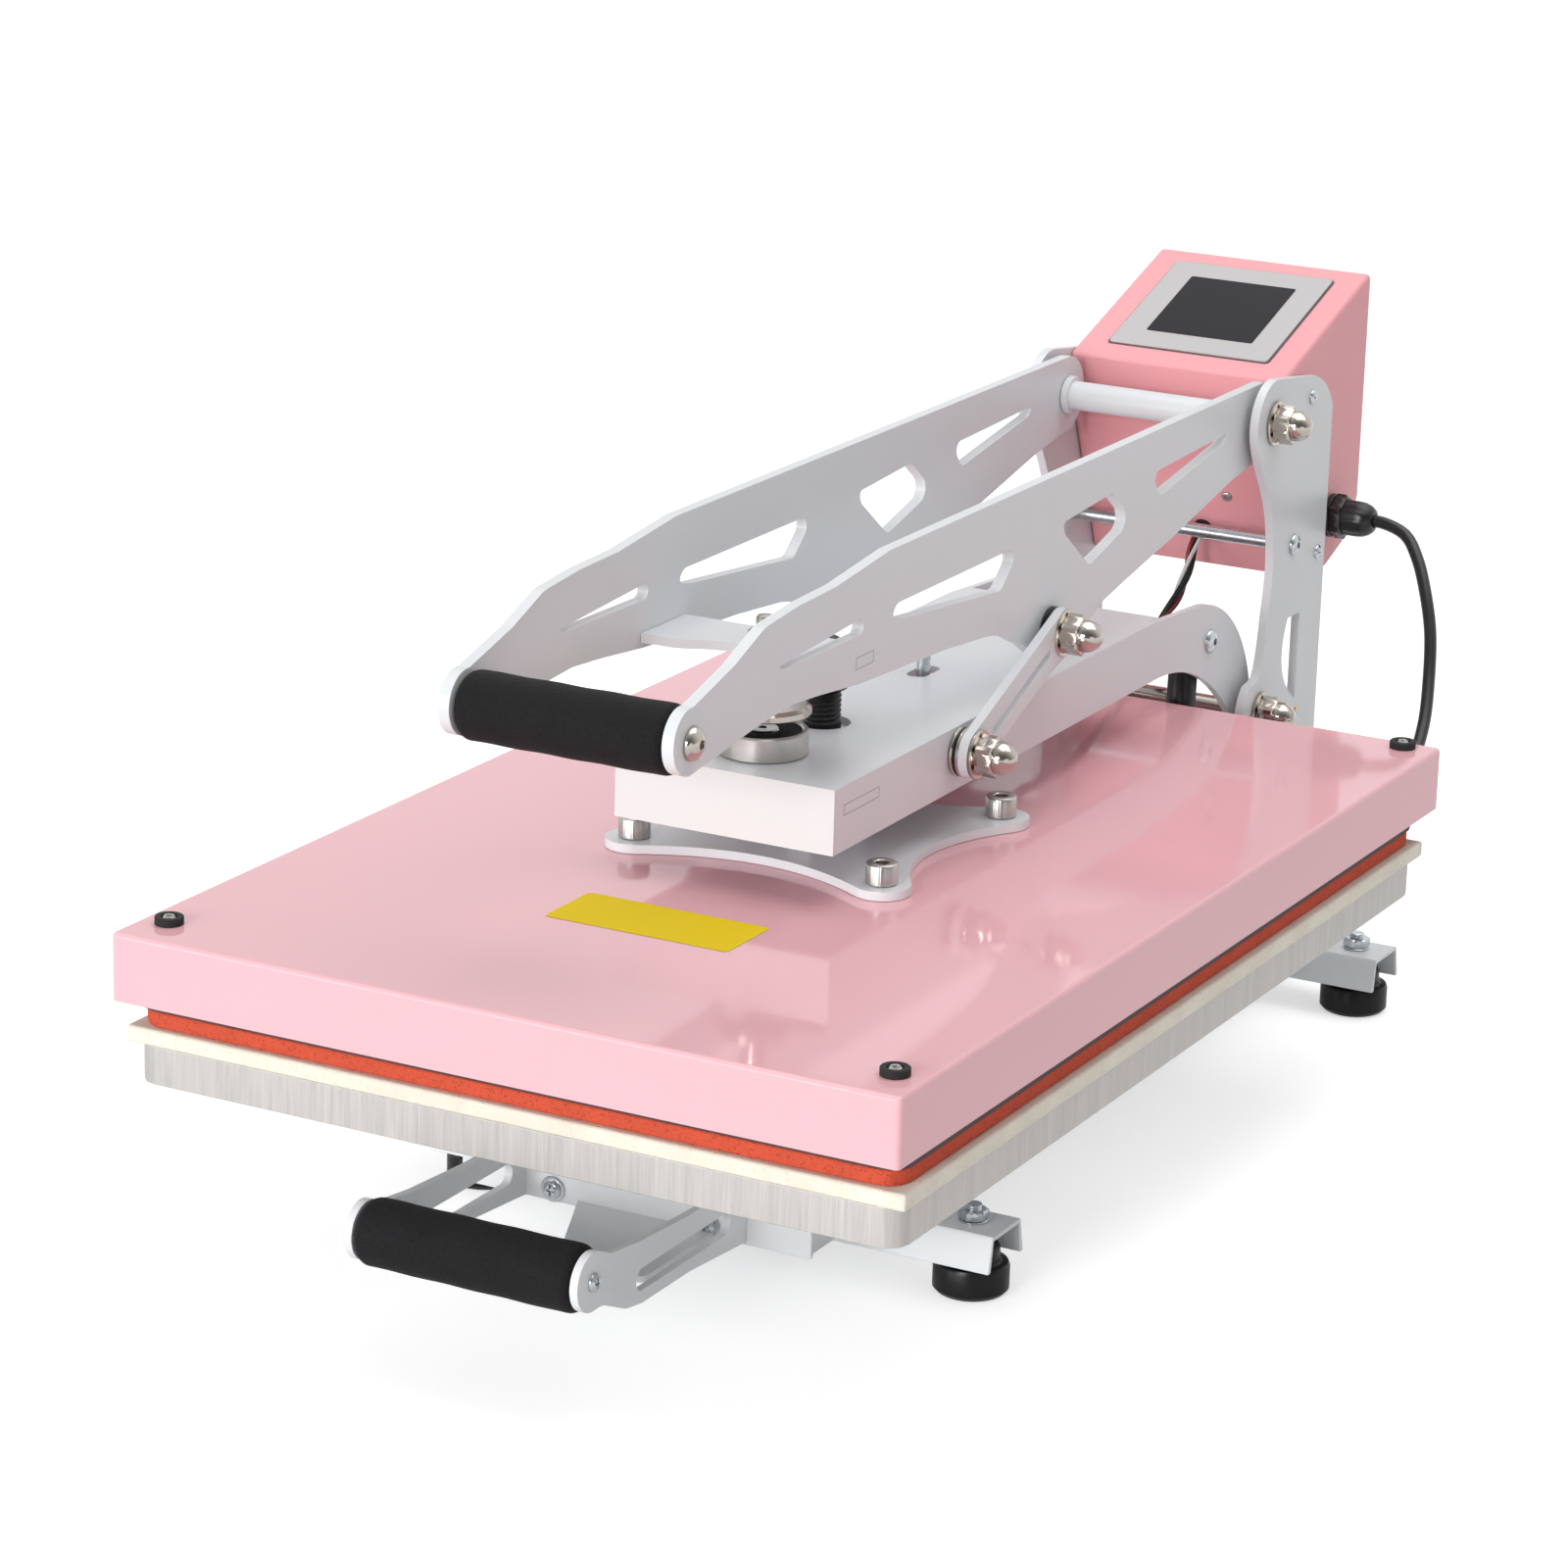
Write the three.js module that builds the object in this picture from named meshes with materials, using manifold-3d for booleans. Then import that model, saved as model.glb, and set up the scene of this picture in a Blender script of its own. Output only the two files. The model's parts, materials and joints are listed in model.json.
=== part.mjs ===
// Auto-open heat press with a slide-out lower platen, in millimetres, +Z up.
// While it is built, Y runs back from the front edge of the lower platen and Z up from the table.
// The finished group stands on the table, centred on X and Y.
import * as THREE from "three";
import { mergeVertices } from "three/addons/utils/BufferGeometryUtils.js";
import Module from "manifold-3d";

const wasm = await Module();
wasm.setup();

// Fits
const fit = 0.3; // gap between pieces that lie on, or turn in, each other
const over = 2; // how far a cutting shape runs past the face it cuts
const weld = 1; // how far shapes that are joined run into each other
const bevel = 1; // bevel of a turned edge
const fine = 16; // sides of a large round piece
const coarse = 12; // sides of a small round piece
const hexSides = 6;
const curveSteps = 5; // sides along each arc of a flat outline

// Feet and legs
const footRadius = 18.5;
const footNeckRadius = 13.5;
const footRubberHeight = 24;
const footInset = 18; // from the end of a leg to the axis of its foot
const footStudRadius = 4;
const footStudRise = 9;
const footNutRadius = 7.5;
const footNutHeight = 5;
const legTop = 35.5;
const legHeight = 18;
const legSheet = 2.5;
const legTopWidth = 30;
const legFootWidth = 38;
const legSpan = 308;
const frontLegY = 209;

// Base tray and drawer slides
const trayWidth = 184;
const traySheet = 2.5;
const trayHeight = 53;
const trayFrontY = 126;
const trayRearMargin = 2.5;
const railHeight = 35;
const railThickness = 5.5;
const railBevel = 2;
const railRise = 12;
const railInsetY = 14;
const railLength = 470;
const runnerHeight = 27;
const runnerLength = 455;
const carriageSheet = 3;
const carriageWidth = 260;
const carriageRibInset = 18; // from the side of the tray to the outer face of a rib
const carriageRibDrop = 45;
const frontPanelWidth = 190;
const frontPanelDrop = 68;
const frontPanelY = 121;

// Platens, mat and pad
const platenWidth = 400;
const platenDepth = 600;
const platenCorner = 11;
const platenLift = 12.7; // from the top of the tray walls to the top of the carriage
const lowerPlatenThickness = 19.2;
const matSideOverhang = 3.5;
const matEndOverhang = 1.9;
const matThickness = 8.3;
const padInset = 1;
const padCorner = 12;
const padThickness = 7.7;
const pressGap = 0.4;
const heatPlatenThickness = 20;

// Cover of the heat platen
const coverSideOverhang = 4.65;
const coverFrontOverhang = 11.8;
const coverRearOverhang = 17.5;
const coverHeight = 33.4;
const coverSheet = 1.5;
const rimBelowCover = 6;
const coverEdgeRadius = 2;

// Mounting spider, hub and pressure screw
const spiderThickness = 4.5;
const spiderBoltX = 68;
const spiderBoltY = 65;
const spiderLobeRadius = 14.5;
const spiderLobeShare = 0.42; // of a half turn, that a lobe's arc takes on each side
const spiderWaistShare = 0.62; // waist of the concave edges, as a share of the bolt place
const capHeadRadius = 7.9;
const capHeadHeight = 10.5;
const capSocketRadius = 3.6;
const capSocketDepth = 5;
const capShankRadius = 4;
const capThreadDepth = 12;
const hubRadius = 26.5;
const pressureScrewRadius = 9.25;
const pressureScrewRise = 43;
const pressureNutRise = 18;
const pressureNutHeight = 6;
const pressureNutRadius = 14;
const threadPitch = 3;
const threadDepth = 1;
const pressureHoleRadius = 14;
const screwBossRadius = 18;
const screwBossHeight = 16;
const guideStudRadius = 3.5;
const guideStudRise = 30;
const guideStudSetback = 110;
const guideStudFlangeRadius = 9;
const guideStudFlangeHeight = 4;
const guideSlotLength = 26;
const guideSlotWidth = 11;

// Folded beam between the hinge and the hub
const beamSideGap = 5.6; // from a side of the beam to the upright beside it
const beamSheet = 4;
const beamRise = 25.9;
const beamHeight = 32.5;
const beamFrontReach = 100;
const beamTopSetback = 115; // from the rear end of its top plate to the hinge
const beamTaperSetback = 130;
const elbowOuterRadius = 85.5;
const elbowCentreSetback = 73;
const elbowCentreDrop = 10.8;
const elbowLugRadius = 16;
const lugEndShare = 1.95; // of a half turn, where the lug's arc ends
const elbowEndShare = 0.477; // of a half turn, where the elbow's arc ends
const archRadius = 143;
const archSetback = 120;
const springPivotSetback = 50;
const springPivotRise = 51.3;

// Pivots of the linkage
const hingeSetback = 90; // from the back of the lower platen to the hinge
const hingeDrop = 46.2; // from the underside of the beam to the hinge
const pivotRise = 164.4; // from the hinge to the pivot of the handle
const linkPivotReach = 358.5;
const linkPivotRise = 65.7;
const armPivotReach = 261.7;
const armPivotDrop = 58.9;
const shaftRadius = 6;
const linkBoltRadius = 5;
const linkHeadRadius = 8.5;
const collarRadius = 10;
const washerRadius = 12.5;
const washerThickness = 1.7;
const nutRadius = 10.9;
const nutHeight = 9.5;
const domeRadius = 8.4;
const domeHeight = 10;

// Uprights
const uprightInset = 22; // from the side of the tray to the outer face of an upright
const uprightSheet = 5;
const uprightHeadRadius = 24;
const uprightDepth = 104.5;
const uprightRearReach = 82.5;
const uprightFlangeWidth = 22;
const spacerRodRadius = 3.5;
const spacerHeadRadius = 5;
const spacerHeadHeight = 2.5;
const spacerRodSetback = 36;
const spacerRodRise = 88.7;

// Links, arms and handle
const linkSheet = 5;
const linkEndRadius = 12.5;
const linkWaist = 20;
const linkSlotWidth = 5;
const linkSlotShare = 0.62;
const armSideGap = 4; // from an arm to the upright beside it
const armSheet = 6;
const armReach = 633;
const armEndRadius = 21;
const armTipRadius = 15.7;
const armTipShift = 1; // of the round tip, forward and up from the grip's axis
const armTipDrop = 27;
const armRise = 21.3;
const armEdgeRadius = 21;
const cutRadius = 7;
const gripRadius = 16.5;
const gripRound = 5;
const gripBoltRadius = 5;
const gripHeadRadius = 8;
const gripHeadHeight = 5;
const gripSocketRadius = 2.5;
const crossTubeRadius = 8;
const crossCollarRadius = 10.5;
const crossCollarWidth = 4;
const crossPlateThickness = 4.5;
const crossPlateDepth = 43;
const crossPlateHollow = 10;
const crossPlateDrop = 29.7;

// Electromagnet and the armature that it holds
const magnetReach = 62; // in front of the pressure screw
const magnetRadius = 22.35;
const magnetHeight = 12;
const magnetWall = 3.2;
const magnetCoreRadius = 8;
const magnetPotDepth = 2.5;
const leadHoleRadius = 4;
const armatureGap = 8;
const armatureRadius = 23.5;
const armatureThickness = 5;
const armatureBevel = 2;
const armaturePostRadius = 7;
const armatureShankRadius = 4.7;
const armatureNutRadius = 8.5;

// Gas springs
const springInset = 10; // from the inner face of an arm to a spring's axis
const springEyeWidth = 14;
const springEyeRadius = 9;
const springNeckShare = 0.6; // of the eye's radius, from the end of the body to the eye's axis
const springFootSetback = 58;
const springFootDrop = 97.3;
const springPinRadius = 4;
const springBodyRadius = 8;
const springBodyLength = 96;
const springRodRadius = 4;
const springStudRadius = 4;
const springStudHeadRadius = 6;
const springStudHeadHeight = 3.2;
const springBracketSheet = 4;
const springBracketGap = 4; // from the bracket to the upright beside it
const springBracketDepth = 30;

// Control box, screen, gland, inlet and switch
const boxSheet = 2;
const boxDepth = 119.5;
const boxRearReach = 142;
const boxRise = 62.7;
const boxHeight = 161;
const bezelWidth = 96;
const bezelThickness = 1.2;
const screenWidth = 56;
const glandNutRadius = 13;
const glandStemRadius = 9;
const glandNutLength = 9;
const glandDomeRadius = 10;
const glandLength = 22;
const glandTaperShare = 0.8;
const glandLip = 1;
const glandSetback = 101;
const glandDrop = 72.7;
const cableRadius = 3.5;
const cableLead = 9; // straight run of the heater cable out of its gland
const cableEntry = 6; // straight run of the heater cable into the cover
const cableEntryX = 148;
const cableEntryDrop = 23.2; // from the top of the cover to the cable's end
const cableEntrySag = 0.2;
const leadRadius = 2.5;
const inletWidth = 58;
const inletHeight = 27;
const inletDepth = 24;
const inletFrame = 4;
const inletProud = 2.5;
const inletDrop = 34;
const socketX = -11;
const socketWidth = 24;
const socketHeight = 17;
const socketDepth = 15;
const pinSpacing = 7;
const pinThickness = 2;
const switchX = 17;
const switchWidth = 13;
const switchHeight = 21;
const switchDepth = 18;
const switchWellGap = 1; // above and below the rocker
const rockerReach = 10;
const rockerHollow = 2;
const rockerTilt = 8; // degrees

// Drawer handle
const drawerPlateSpacing = 122;
const drawerSheet = 4;
const drawerGripRadius = 16;
const drawerGripReach = 22;
const drawerGripDrop = 36.5;
const drawerRodRadius = 6;
const drawerWebDepth = 3;
const drawerTongueReach = 70;
const tongueShare = 0.8; // of the room between the side plates
const drawerNoseRadius = 14;
const drawerSlotWidth = 11;

// Heights and places that follow from the sizes
const footX = legSpan / 2 - footInset;
const legBottom = legTop - legHeight;
const trayBottom = legTop + fit;
const trayFloor = trayBottom + traySheet;
const trayTop = trayBottom + trayHeight;
const carriageTop = trayTop + platenLift + carriageSheet - fit;
const carriageBottom = carriageTop - carriageSheet;
const lowerPlatenBottom = carriageTop + fit;
const lowerPlatenTop = lowerPlatenBottom + lowerPlatenThickness;
const matBottom = lowerPlatenTop + fit;
const matTop = matBottom + matThickness;
const padBottom = matTop + fit;
const padTop = padBottom + padThickness;
const heatBottom = padTop + pressGap;
const heatTop = heatBottom + heatPlatenThickness;
const coverBottom = heatBottom + rimBelowCover;
const coverTop = coverBottom + coverHeight;
const spiderBottom = coverTop + fit;
const spiderTop = spiderBottom + spiderThickness;
const beamBottom = coverTop + beamRise;
const beamTop = beamBottom + beamHeight;
const pressY = platenDepth / 2;
const beamFrontY = pressY - beamFrontReach;
const hingeY = platenDepth + hingeSetback;
const hingeZ = beamBottom - hingeDrop;
const armPivotZ = hingeZ + pivotRise;
const linkPivotY = hingeY - linkPivotReach;
const linkPivotZ = hingeZ + linkPivotRise;
const armLinkY = hingeY - armPivotReach;
const armLinkZ = armPivotZ - armPivotDrop;
const sideOuter = trayWidth / 2 - uprightInset;
const sideInner = sideOuter - uprightSheet;
const beamHalf = sideInner - beamSideGap;
const armOuter = sideInner - armSideGap;
const armInner = armOuter - armSheet;
const springX = armInner - springInset;
const gripY = hingeY - armReach;
const gripZ = armPivotZ - armTipDrop;
const rearLegY = hingeY - fit * over;
const trayRearY = hingeY + uprightRearReach + trayRearMargin;
const magnetY = pressY - magnetReach;

// Finishes
const finishes = {
  pinkPaint: { color: 0xf2b4bf, roughness: 0.2, metalness: 0 },
  whitePaint: { color: 0xd9dbe0, roughness: 0.35, metalness: 0 },
  aluminium: { color: 0xc6c5c2, roughness: 0.45, metalness: 0.9 },
  castAluminium: { color: 0x8f8f90, roughness: 0.6, metalness: 0.8 },
  zinc: { color: 0xa9b6bd, roughness: 0.35, metalness: 0.9 },
  nickel: { color: 0xc9c3b8, roughness: 0.15, metalness: 1 },
  stainless: { color: 0xb9b7b3, roughness: 0.3, metalness: 1 },
  chrome: { color: 0xd5d6d8, roughness: 0.08, metalness: 1 },
  blackSteel: { color: 0x17181a, roughness: 0.4, metalness: 0.4 },
  rubber: { color: 0x111214, roughness: 0.6, metalness: 0 },
  foam: { color: 0x1c1c1f, roughness: 0.95, metalness: 0 },
  silicone: { color: 0xd14a33, roughness: 0.8, metalness: 0 },
  felt: { color: 0xeee6d6, roughness: 0.95, metalness: 0 },
  fibre: { color: 0xe9e5dc, roughness: 0.95, metalness: 0 },
  plastic: { color: 0x141517, roughness: 0.45, metalness: 0 },
  greyPlastic: { color: 0xbdbec1, roughness: 0.5, metalness: 0 },
  glass: { color: 0x2c3036, roughness: 0.1, metalness: 0 },
};
const materials = Object.fromEntries(
  Object.entries(finishes).map(([name, look]) => [name, new THREE.MeshStandardMaterial(look)]),
);

// Solids, joins and cuts
function solidOf(geometry) {
  const bare = geometry.clone();
  for (const name of ["normal", "uv"]) bare.deleteAttribute(name);
  const merged = mergeVertices(bare, 1e-4);
  return new wasm.Manifold(
    new wasm.Mesh({
      numProp: 3,
      vertProperties: merged.attributes.position.array,
      triVerts: new Uint32Array(merged.index.array),
    }),
  );
}

function join(...solids) {
  return solids.reduce((whole, piece) => whole.add(piece));
}

function cut(solid, ...tools) {
  return tools.reduce((rest, tool) => rest.subtract(tool), solid);
}

function add(parent, name, solid, finish) {
  const cutMesh = solid.getMesh();
  const geometry = new THREE.BufferGeometry();
  geometry.setAttribute("position", new THREE.BufferAttribute(cutMesh.vertProperties, 3));
  geometry.setIndex(new THREE.BufferAttribute(cutMesh.triVerts, 1));
  const flat = geometry.toNonIndexed();
  flat.computeVertexNormals();
  const mesh = new THREE.Mesh(flat, materials[finish]);
  mesh.name = name;
  parent.add(mesh);
  return mesh;
}

// Basis changes that lay a flat outline in a plane of the press
const xAxis = new THREE.Vector3(1, 0, 0);
const yAxis = new THREE.Vector3(0, 1, 0);
const zAxis = new THREE.Vector3(0, 0, 1);
const outlineAcross = new THREE.Matrix4().makeBasis(yAxis, zAxis, xAxis); // outline in (Y, Z)
const outlineAlong = new THREE.Matrix4().makeBasis(zAxis, xAxis, yAxis); // outline in (Z, X)
const turnedAcross = new THREE.Matrix4().makeBasis(yAxis, xAxis, zAxis.clone().negate());
const turnedUp = new THREE.Matrix4().makeBasis(xAxis, zAxis, yAxis.clone().negate());

function extrude(shape, depth) {
  return new THREE.ExtrudeGeometry(shape, { depth, bevelEnabled: false, curveSegments: curveSteps });
}

function plateX(shape, x0, x1) {
  return solidOf(extrude(shape, x1 - x0).applyMatrix4(outlineAcross).translate(x0, 0, 0));
}

function plateY(shape, y0, y1) {
  return solidOf(extrude(shape, y1 - y0).applyMatrix4(outlineAlong).translate(0, y0, 0));
}

function plateZ(shape, z0, z1) {
  return solidOf(extrude(shape, z1 - z0).translate(0, 0, z0));
}

function block(x0, x1, y0, y1, z0, z1) {
  const box = new THREE.BoxGeometry(x1 - x0, y1 - y0, z1 - z0);
  return solidOf(box.translate((x0 + x1) / 2, (y0 + y1) / 2, (z0 + z1) / 2));
}

// A turned piece: its profile is a list of [radius, place along the axis], from end to end.
function turnedX(profile, y, z, sides = coarse) {
  const points = profile.map(([radius, along]) => new THREE.Vector2(radius, along));
  const lathe = new THREE.LatheGeometry(points, sides).applyMatrix4(turnedAcross);
  return solidOf(lathe.translate(0, y, z));
}

function turnedZ(profile, x, y, sides = coarse) {
  const points = profile.map(([radius, along]) => new THREE.Vector2(radius, along));
  const lathe = new THREE.LatheGeometry(points, sides).applyMatrix4(turnedUp);
  return solidOf(lathe.translate(x, y, 0));
}

function rodProfile(radius, start, end) {
  return [
    [0, start],
    [radius, start],
    [radius, end],
    [0, end],
  ];
}

function rodX(radius, x0, x1, y, z, sides = coarse) {
  return turnedX(rodProfile(radius, x0, x1), y, z, sides);
}

function rodZ(radius, z0, z1, x, y, sides = coarse) {
  return turnedZ(rodProfile(radius, z0, z1), x, y, sides);
}

function mirrorX(solid) {
  return solid.mirror([1, 0, 0]);
}

function polygon(points) {
  return new THREE.Shape(points.map(([u, v]) => new THREE.Vector2(u, v)));
}

const arcRoomShare = 0.48; // of a side, that the arc at one of its ends may take
const arcStepAngle = 0.6;

// An outline whose corners [u, v, radius] are rounded by arcs, no larger than their sides allow.
function outline(corners) {
  const points = [];
  corners.forEach(([u, v, radius = 0], index) => {
    const corner = new THREE.Vector2(u, v);
    const [beforeU, beforeV] = corners[(index + corners.length - 1) % corners.length];
    const [afterU, afterV] = corners[(index + 1) % corners.length];
    const toBefore = new THREE.Vector2(beforeU, beforeV).sub(corner);
    const toAfter = new THREE.Vector2(afterU, afterV).sub(corner);
    const halfAngle = Math.acos(toBefore.dot(toAfter) / toBefore.length() / toAfter.length()) / 2;
    const room = Math.min(toBefore.length(), toAfter.length()) * arcRoomShare;
    const reach = Math.min(radius / Math.tan(halfAngle), room);
    if (reach <= 0 || Math.PI / 2 - halfAngle < 0.01) {
      points.push(corner);
      return;
    }
    const start = corner.clone().add(toBefore.setLength(reach));
    const end = corner.clone().add(toAfter.setLength(reach));
    const middle = start.clone().add(end).multiplyScalar(0.5);
    const centreReach = reach / Math.cos(halfAngle);
    const centre = corner.clone().add(middle.sub(corner).setLength(centreReach));
    const sweep = Math.PI - 2 * halfAngle;
    const steps = Math.ceil(sweep / arcStepAngle);
    const turn = Math.sign(start.clone().sub(centre).cross(end.clone().sub(centre)));
    for (let step = 0; step <= steps; step += 1) {
      const around = start.clone().rotateAround(centre, (turn * sweep * step) / steps);
      points.push(around);
    }
  });
  return new THREE.Shape(points);
}

function rectangle(u0, u1, v0, v1, radius = 0) {
  return outline([
    [u0, v0, radius],
    [u1, v0, radius],
    [u1, v1, radius],
    [u0, v1, radius],
  ]);
}

function disc(u, v, radius) {
  const shape = new THREE.Shape();
  shape.absarc(u, v, radius, 0, 2 * Math.PI);
  return shape;
}

// A slot with round ends between two centres.
function slot(u0, v0, u1, v1, width) {
  const along = new THREE.Vector2(u1 - u0, v1 - v0);
  const angle = along.angle();
  const shape = new THREE.Shape();
  shape.absarc(u1, v1, width / 2, angle - Math.PI / 2, angle + Math.PI / 2);
  shape.absarc(u0, v0, width / 2, angle + Math.PI / 2, angle + (3 * Math.PI) / 2);
  return shape;
}

// Washer, hexagon nut and dome on a shaft that sticks out of a plate at x = face.
function acornNutX(face, y, z) {
  const nutStart = face + washerThickness;
  const domeStart = nutStart + nutHeight;
  const dome = [[0, nutStart]];
  const domeSteps = 3;
  for (let step = 0; step <= domeSteps; step += 1) {
    const angle = (Math.PI / 2) * (step / domeSteps);
    dome.push([domeRadius * Math.cos(angle), domeStart + domeHeight * Math.sin(angle)]);
  }
  dome[dome.length - 1][0] = 0;
  dome.splice(1, 0, [domeRadius, nutStart]);
  return join(
    rodX(washerRadius, face, nutStart, y, z),
    rodX(nutRadius, nutStart, domeStart, y, z, hexSides),
    turnedX(dome, y, z),
  );
}

// Feet: rubber puck, lower nut, stud and the nut above the leg.
function foot(x, y) {
  const lowerNutTop = legTop - legSheet - fit;
  const upperNutBottom = legTop + fit;
  const puck = turnedZ(
    [
      [0, 0],
      [footRadius - legSheet, 0],
      [footRadius, legSheet],
      [footRadius, legBottom - fit],
      [footNeckRadius, legBottom - fit],
      [footNeckRadius, footRubberHeight],
      [0, footRubberHeight],
    ],
    x,
    y,
  );
  return join(
    puck,
    rodZ(footNutRadius, legBottom, lowerNutTop, x, y, hexSides),
    rodZ(footStudRadius, legBottom, legTop + footStudRise, x, y),
    rodZ(footNutRadius, upperNutBottom, upperNutBottom + footNutHeight, x, y, hexSides),
  );
}

// A leg: a folded channel open at the bottom, with a hole for the stud of each foot.
function leg(y) {
  const section = (inset, lower) =>
    outline([
      [lower, y - legFootWidth / 2 + inset],
      [legTop - inset, y - legTopWidth / 2 + inset / 2],
      [legTop - inset, y + legTopWidth / 2 - inset / 2],
      [lower, y + legFootWidth / 2 - inset],
    ]);
  const across = (shape, reach) => {
    const laid = extrude(shape, 2 * reach);
    laid.applyMatrix4(new THREE.Matrix4().makeBasis(zAxis, yAxis, xAxis.clone().negate()));
    return solidOf(laid.translate(reach, 0, 0));
  };
  const channel = cut(
    across(section(0, legBottom), legSpan / 2),
    across(section(legSheet, legBottom - over), legSpan / 2 + over),
  );
  const holes = [-1, 1].map((side) =>
    rodZ(footStudRadius + fit, legBottom, legTop + over, side * footX, y),
  );
  return cut(channel, ...holes);
}

// Base tray: a channel open at the top and at both ends, standing on the legs.
function baseTray() {
  const half = trayWidth / 2;
  const section = new THREE.Shape();
  section.moveTo(trayBottom, -half);
  section.lineTo(trayTop, -half);
  section.lineTo(trayTop, traySheet - half);
  section.lineTo(trayFloor, traySheet - half);
  section.lineTo(trayFloor, half - traySheet);
  section.lineTo(trayTop, half - traySheet);
  section.lineTo(trayTop, half);
  section.lineTo(trayBottom, half);
  return plateY(section, trayFrontY, trayRearY);
}

// A bar of the drawer slides, with its long edges bevelled on the side that meets the other bar.
function slideBar(xFace, xBack, zMiddle, height, y0, length) {
  const bevel = Math.sign(xBack - xFace) * railBevel;
  const section = outline([
    [zMiddle - height / 2, xBack],
    [zMiddle - height / 2, xFace + bevel],
    [zMiddle - height / 2 + railBevel, xFace],
    [zMiddle + height / 2 - railBevel, xFace],
    [zMiddle + height / 2, xFace + bevel],
    [zMiddle + height / 2, xBack],
  ]);
  return plateY(section, y0, y0 + length);
}

// Drawer carriage: table under the platen, two ribs that carry the runners, and the front panel.
function drawerCarriage() {
  const ribOuter = trayWidth / 2 - carriageRibInset;
  const table = block(
    -carriageWidth / 2,
    carriageWidth / 2,
    frontPanelY,
    platenDepth,
    carriageBottom,
    carriageTop,
  );
  const ribs = [-1, 1].map((side) => {
    const xs = [side * ribOuter, side * (ribOuter - carriageSheet)].sort((a, b) => a - b);
    const ribBottom = carriageBottom - carriageRibDrop;
    return block(xs[0], xs[1], frontPanelY, platenDepth, ribBottom, carriageTop);
  });
  const panelShape = rectangle(
    lowerPlatenBottom - frontPanelDrop,
    carriageTop,
    -frontPanelWidth / 2,
    frontPanelWidth / 2,
  );
  const panel = plateY(panelShape, frontPanelY, frontPanelY + carriageSheet);
  return join(table, ...ribs, panel);
}

// Drawer handle bracket: two slotted side plates, a web on the front panel and a bottom tongue.
function drawerBracket() {
  const outer = drawerPlateSpacing / 2;
  const inner = outer - drawerSheet;
  const top = lowerPlatenBottom;
  const webBack = frontPanelY - fit;
  const webFront = webBack - drawerWebDepth;
  const reach = webBack + drawerGripReach;
  // Shares of the reach behind the grip axis, and of the grip's drop below the platen
  const edgeShares = [
    [0.11, 0.77],
    [0.28, 0.85],
    [0.61, 0.93],
    [1, 0.95],
    [1, 1.81],
    [0.62, 1.7],
    [0.31, 1.7],
    [0.21, 1.64],
    [0.06, 1.38],
  ];
  const place = ([along, down]) => [
    along * reach - drawerGripReach,
    top - down * drawerGripDrop,
    drawerNoseRadius,
  ];
  const corners = edgeShares.map(place);
  corners[3][2] = 0;
  corners[4][2] = 0;
  const nose = disc(-drawerGripReach, top - drawerGripDrop, drawerNoseRadius);
  const slotShares = [
    [0.31, 1.38],
    [0.85, 1.38],
  ];
  const [slotStart, slotEnd] = slotShares.map(place);
  const side = (x0, x1) =>
    cut(
      join(plateX(outline(corners), x0, x1), plateX(nose, x0, x1)),
      plateX(
        slot(slotStart[0], slotStart[1], slotEnd[0], slotEnd[1], drawerSlotWidth),
        x0 - over,
        x1 + over,
      ),
    );
  const [webTop, webBottom] = [edgeShares[3], edgeShares[4]].map((share) => place(share)[1]);
  const web = block(-outer, outer, webFront, webBack, webBottom, webTop);
  const tongue = plateZ(
    outline([
      [-inner / 2, webBack],
      [-inner / 2, webFront, drawerSheet],
      [0, webBack - drawerTongueReach, drawerSheet],
      [inner * tongueShare, webBack - drawerTongueReach, drawerSheet],
      [inner * tongueShare, webBack],
    ]),
    webBottom,
    webBottom + drawerWebDepth,
  );
  const gripZLevel = top - drawerGripDrop;
  const axle = rodX(drawerRodRadius, -inner - over, inner + over, -drawerGripReach, gripZLevel);
  return join(side(-outer, -inner), side(inner, outer), web, tongue, axle);
}

// A foam sleeve with rounded ends and a bore, along X.
function foamGrip(halfLength, radius, bore, y, z) {
  const steps = 2;
  const profile = [[bore, -halfLength]];
  for (const side of [-1, 1]) {
    for (let step = 0; step <= steps; step += 1) {
      const share = side < 0 ? step / steps : 1 - step / steps;
      const angle = (Math.PI / 2) * share;
      profile.push([
        radius - gripRound + gripRound * Math.sin(angle),
        side * (halfLength - gripRound + gripRound * Math.cos(angle)),
      ]);
    }
  }
  profile.push([bore, halfLength], [bore, -halfLength]);
  return turnedX(profile, y, z, fine);
}

// The pressed-steel cover: five walls round the heat platen, open at the bottom.
function platenCover() {
  const half = platenWidth / 2 + coverSideOverhang;
  const front = -coverFrontOverhang;
  const rear = platenDepth + coverRearOverhang;
  const shell = plateZ(
    rectangle(-half, half, front, rear, coverEdgeRadius),
    coverBottom,
    coverTop,
  );
  const room = block(
    coverSheet - half,
    half - coverSheet,
    front + coverSheet,
    rear - coverSheet,
    coverBottom - over,
    coverTop - coverSheet,
  );
  return cut(shell, room, ...spiderHoles(coverBottom, coverTop + over));
}

function spiderBoltPlaces() {
  const places = [];
  for (const sideX of [-1, 1]) {
    for (const sideY of [-1, 1]) places.push([sideX * spiderBoltX, pressY + sideY * spiderBoltY]);
  }
  return places;
}

function spiderHoles(z0, z1) {
  return spiderBoltPlaces().map(([x, y]) => rodZ(capShankRadius + fit, z0, z1, x, y));
}

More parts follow.
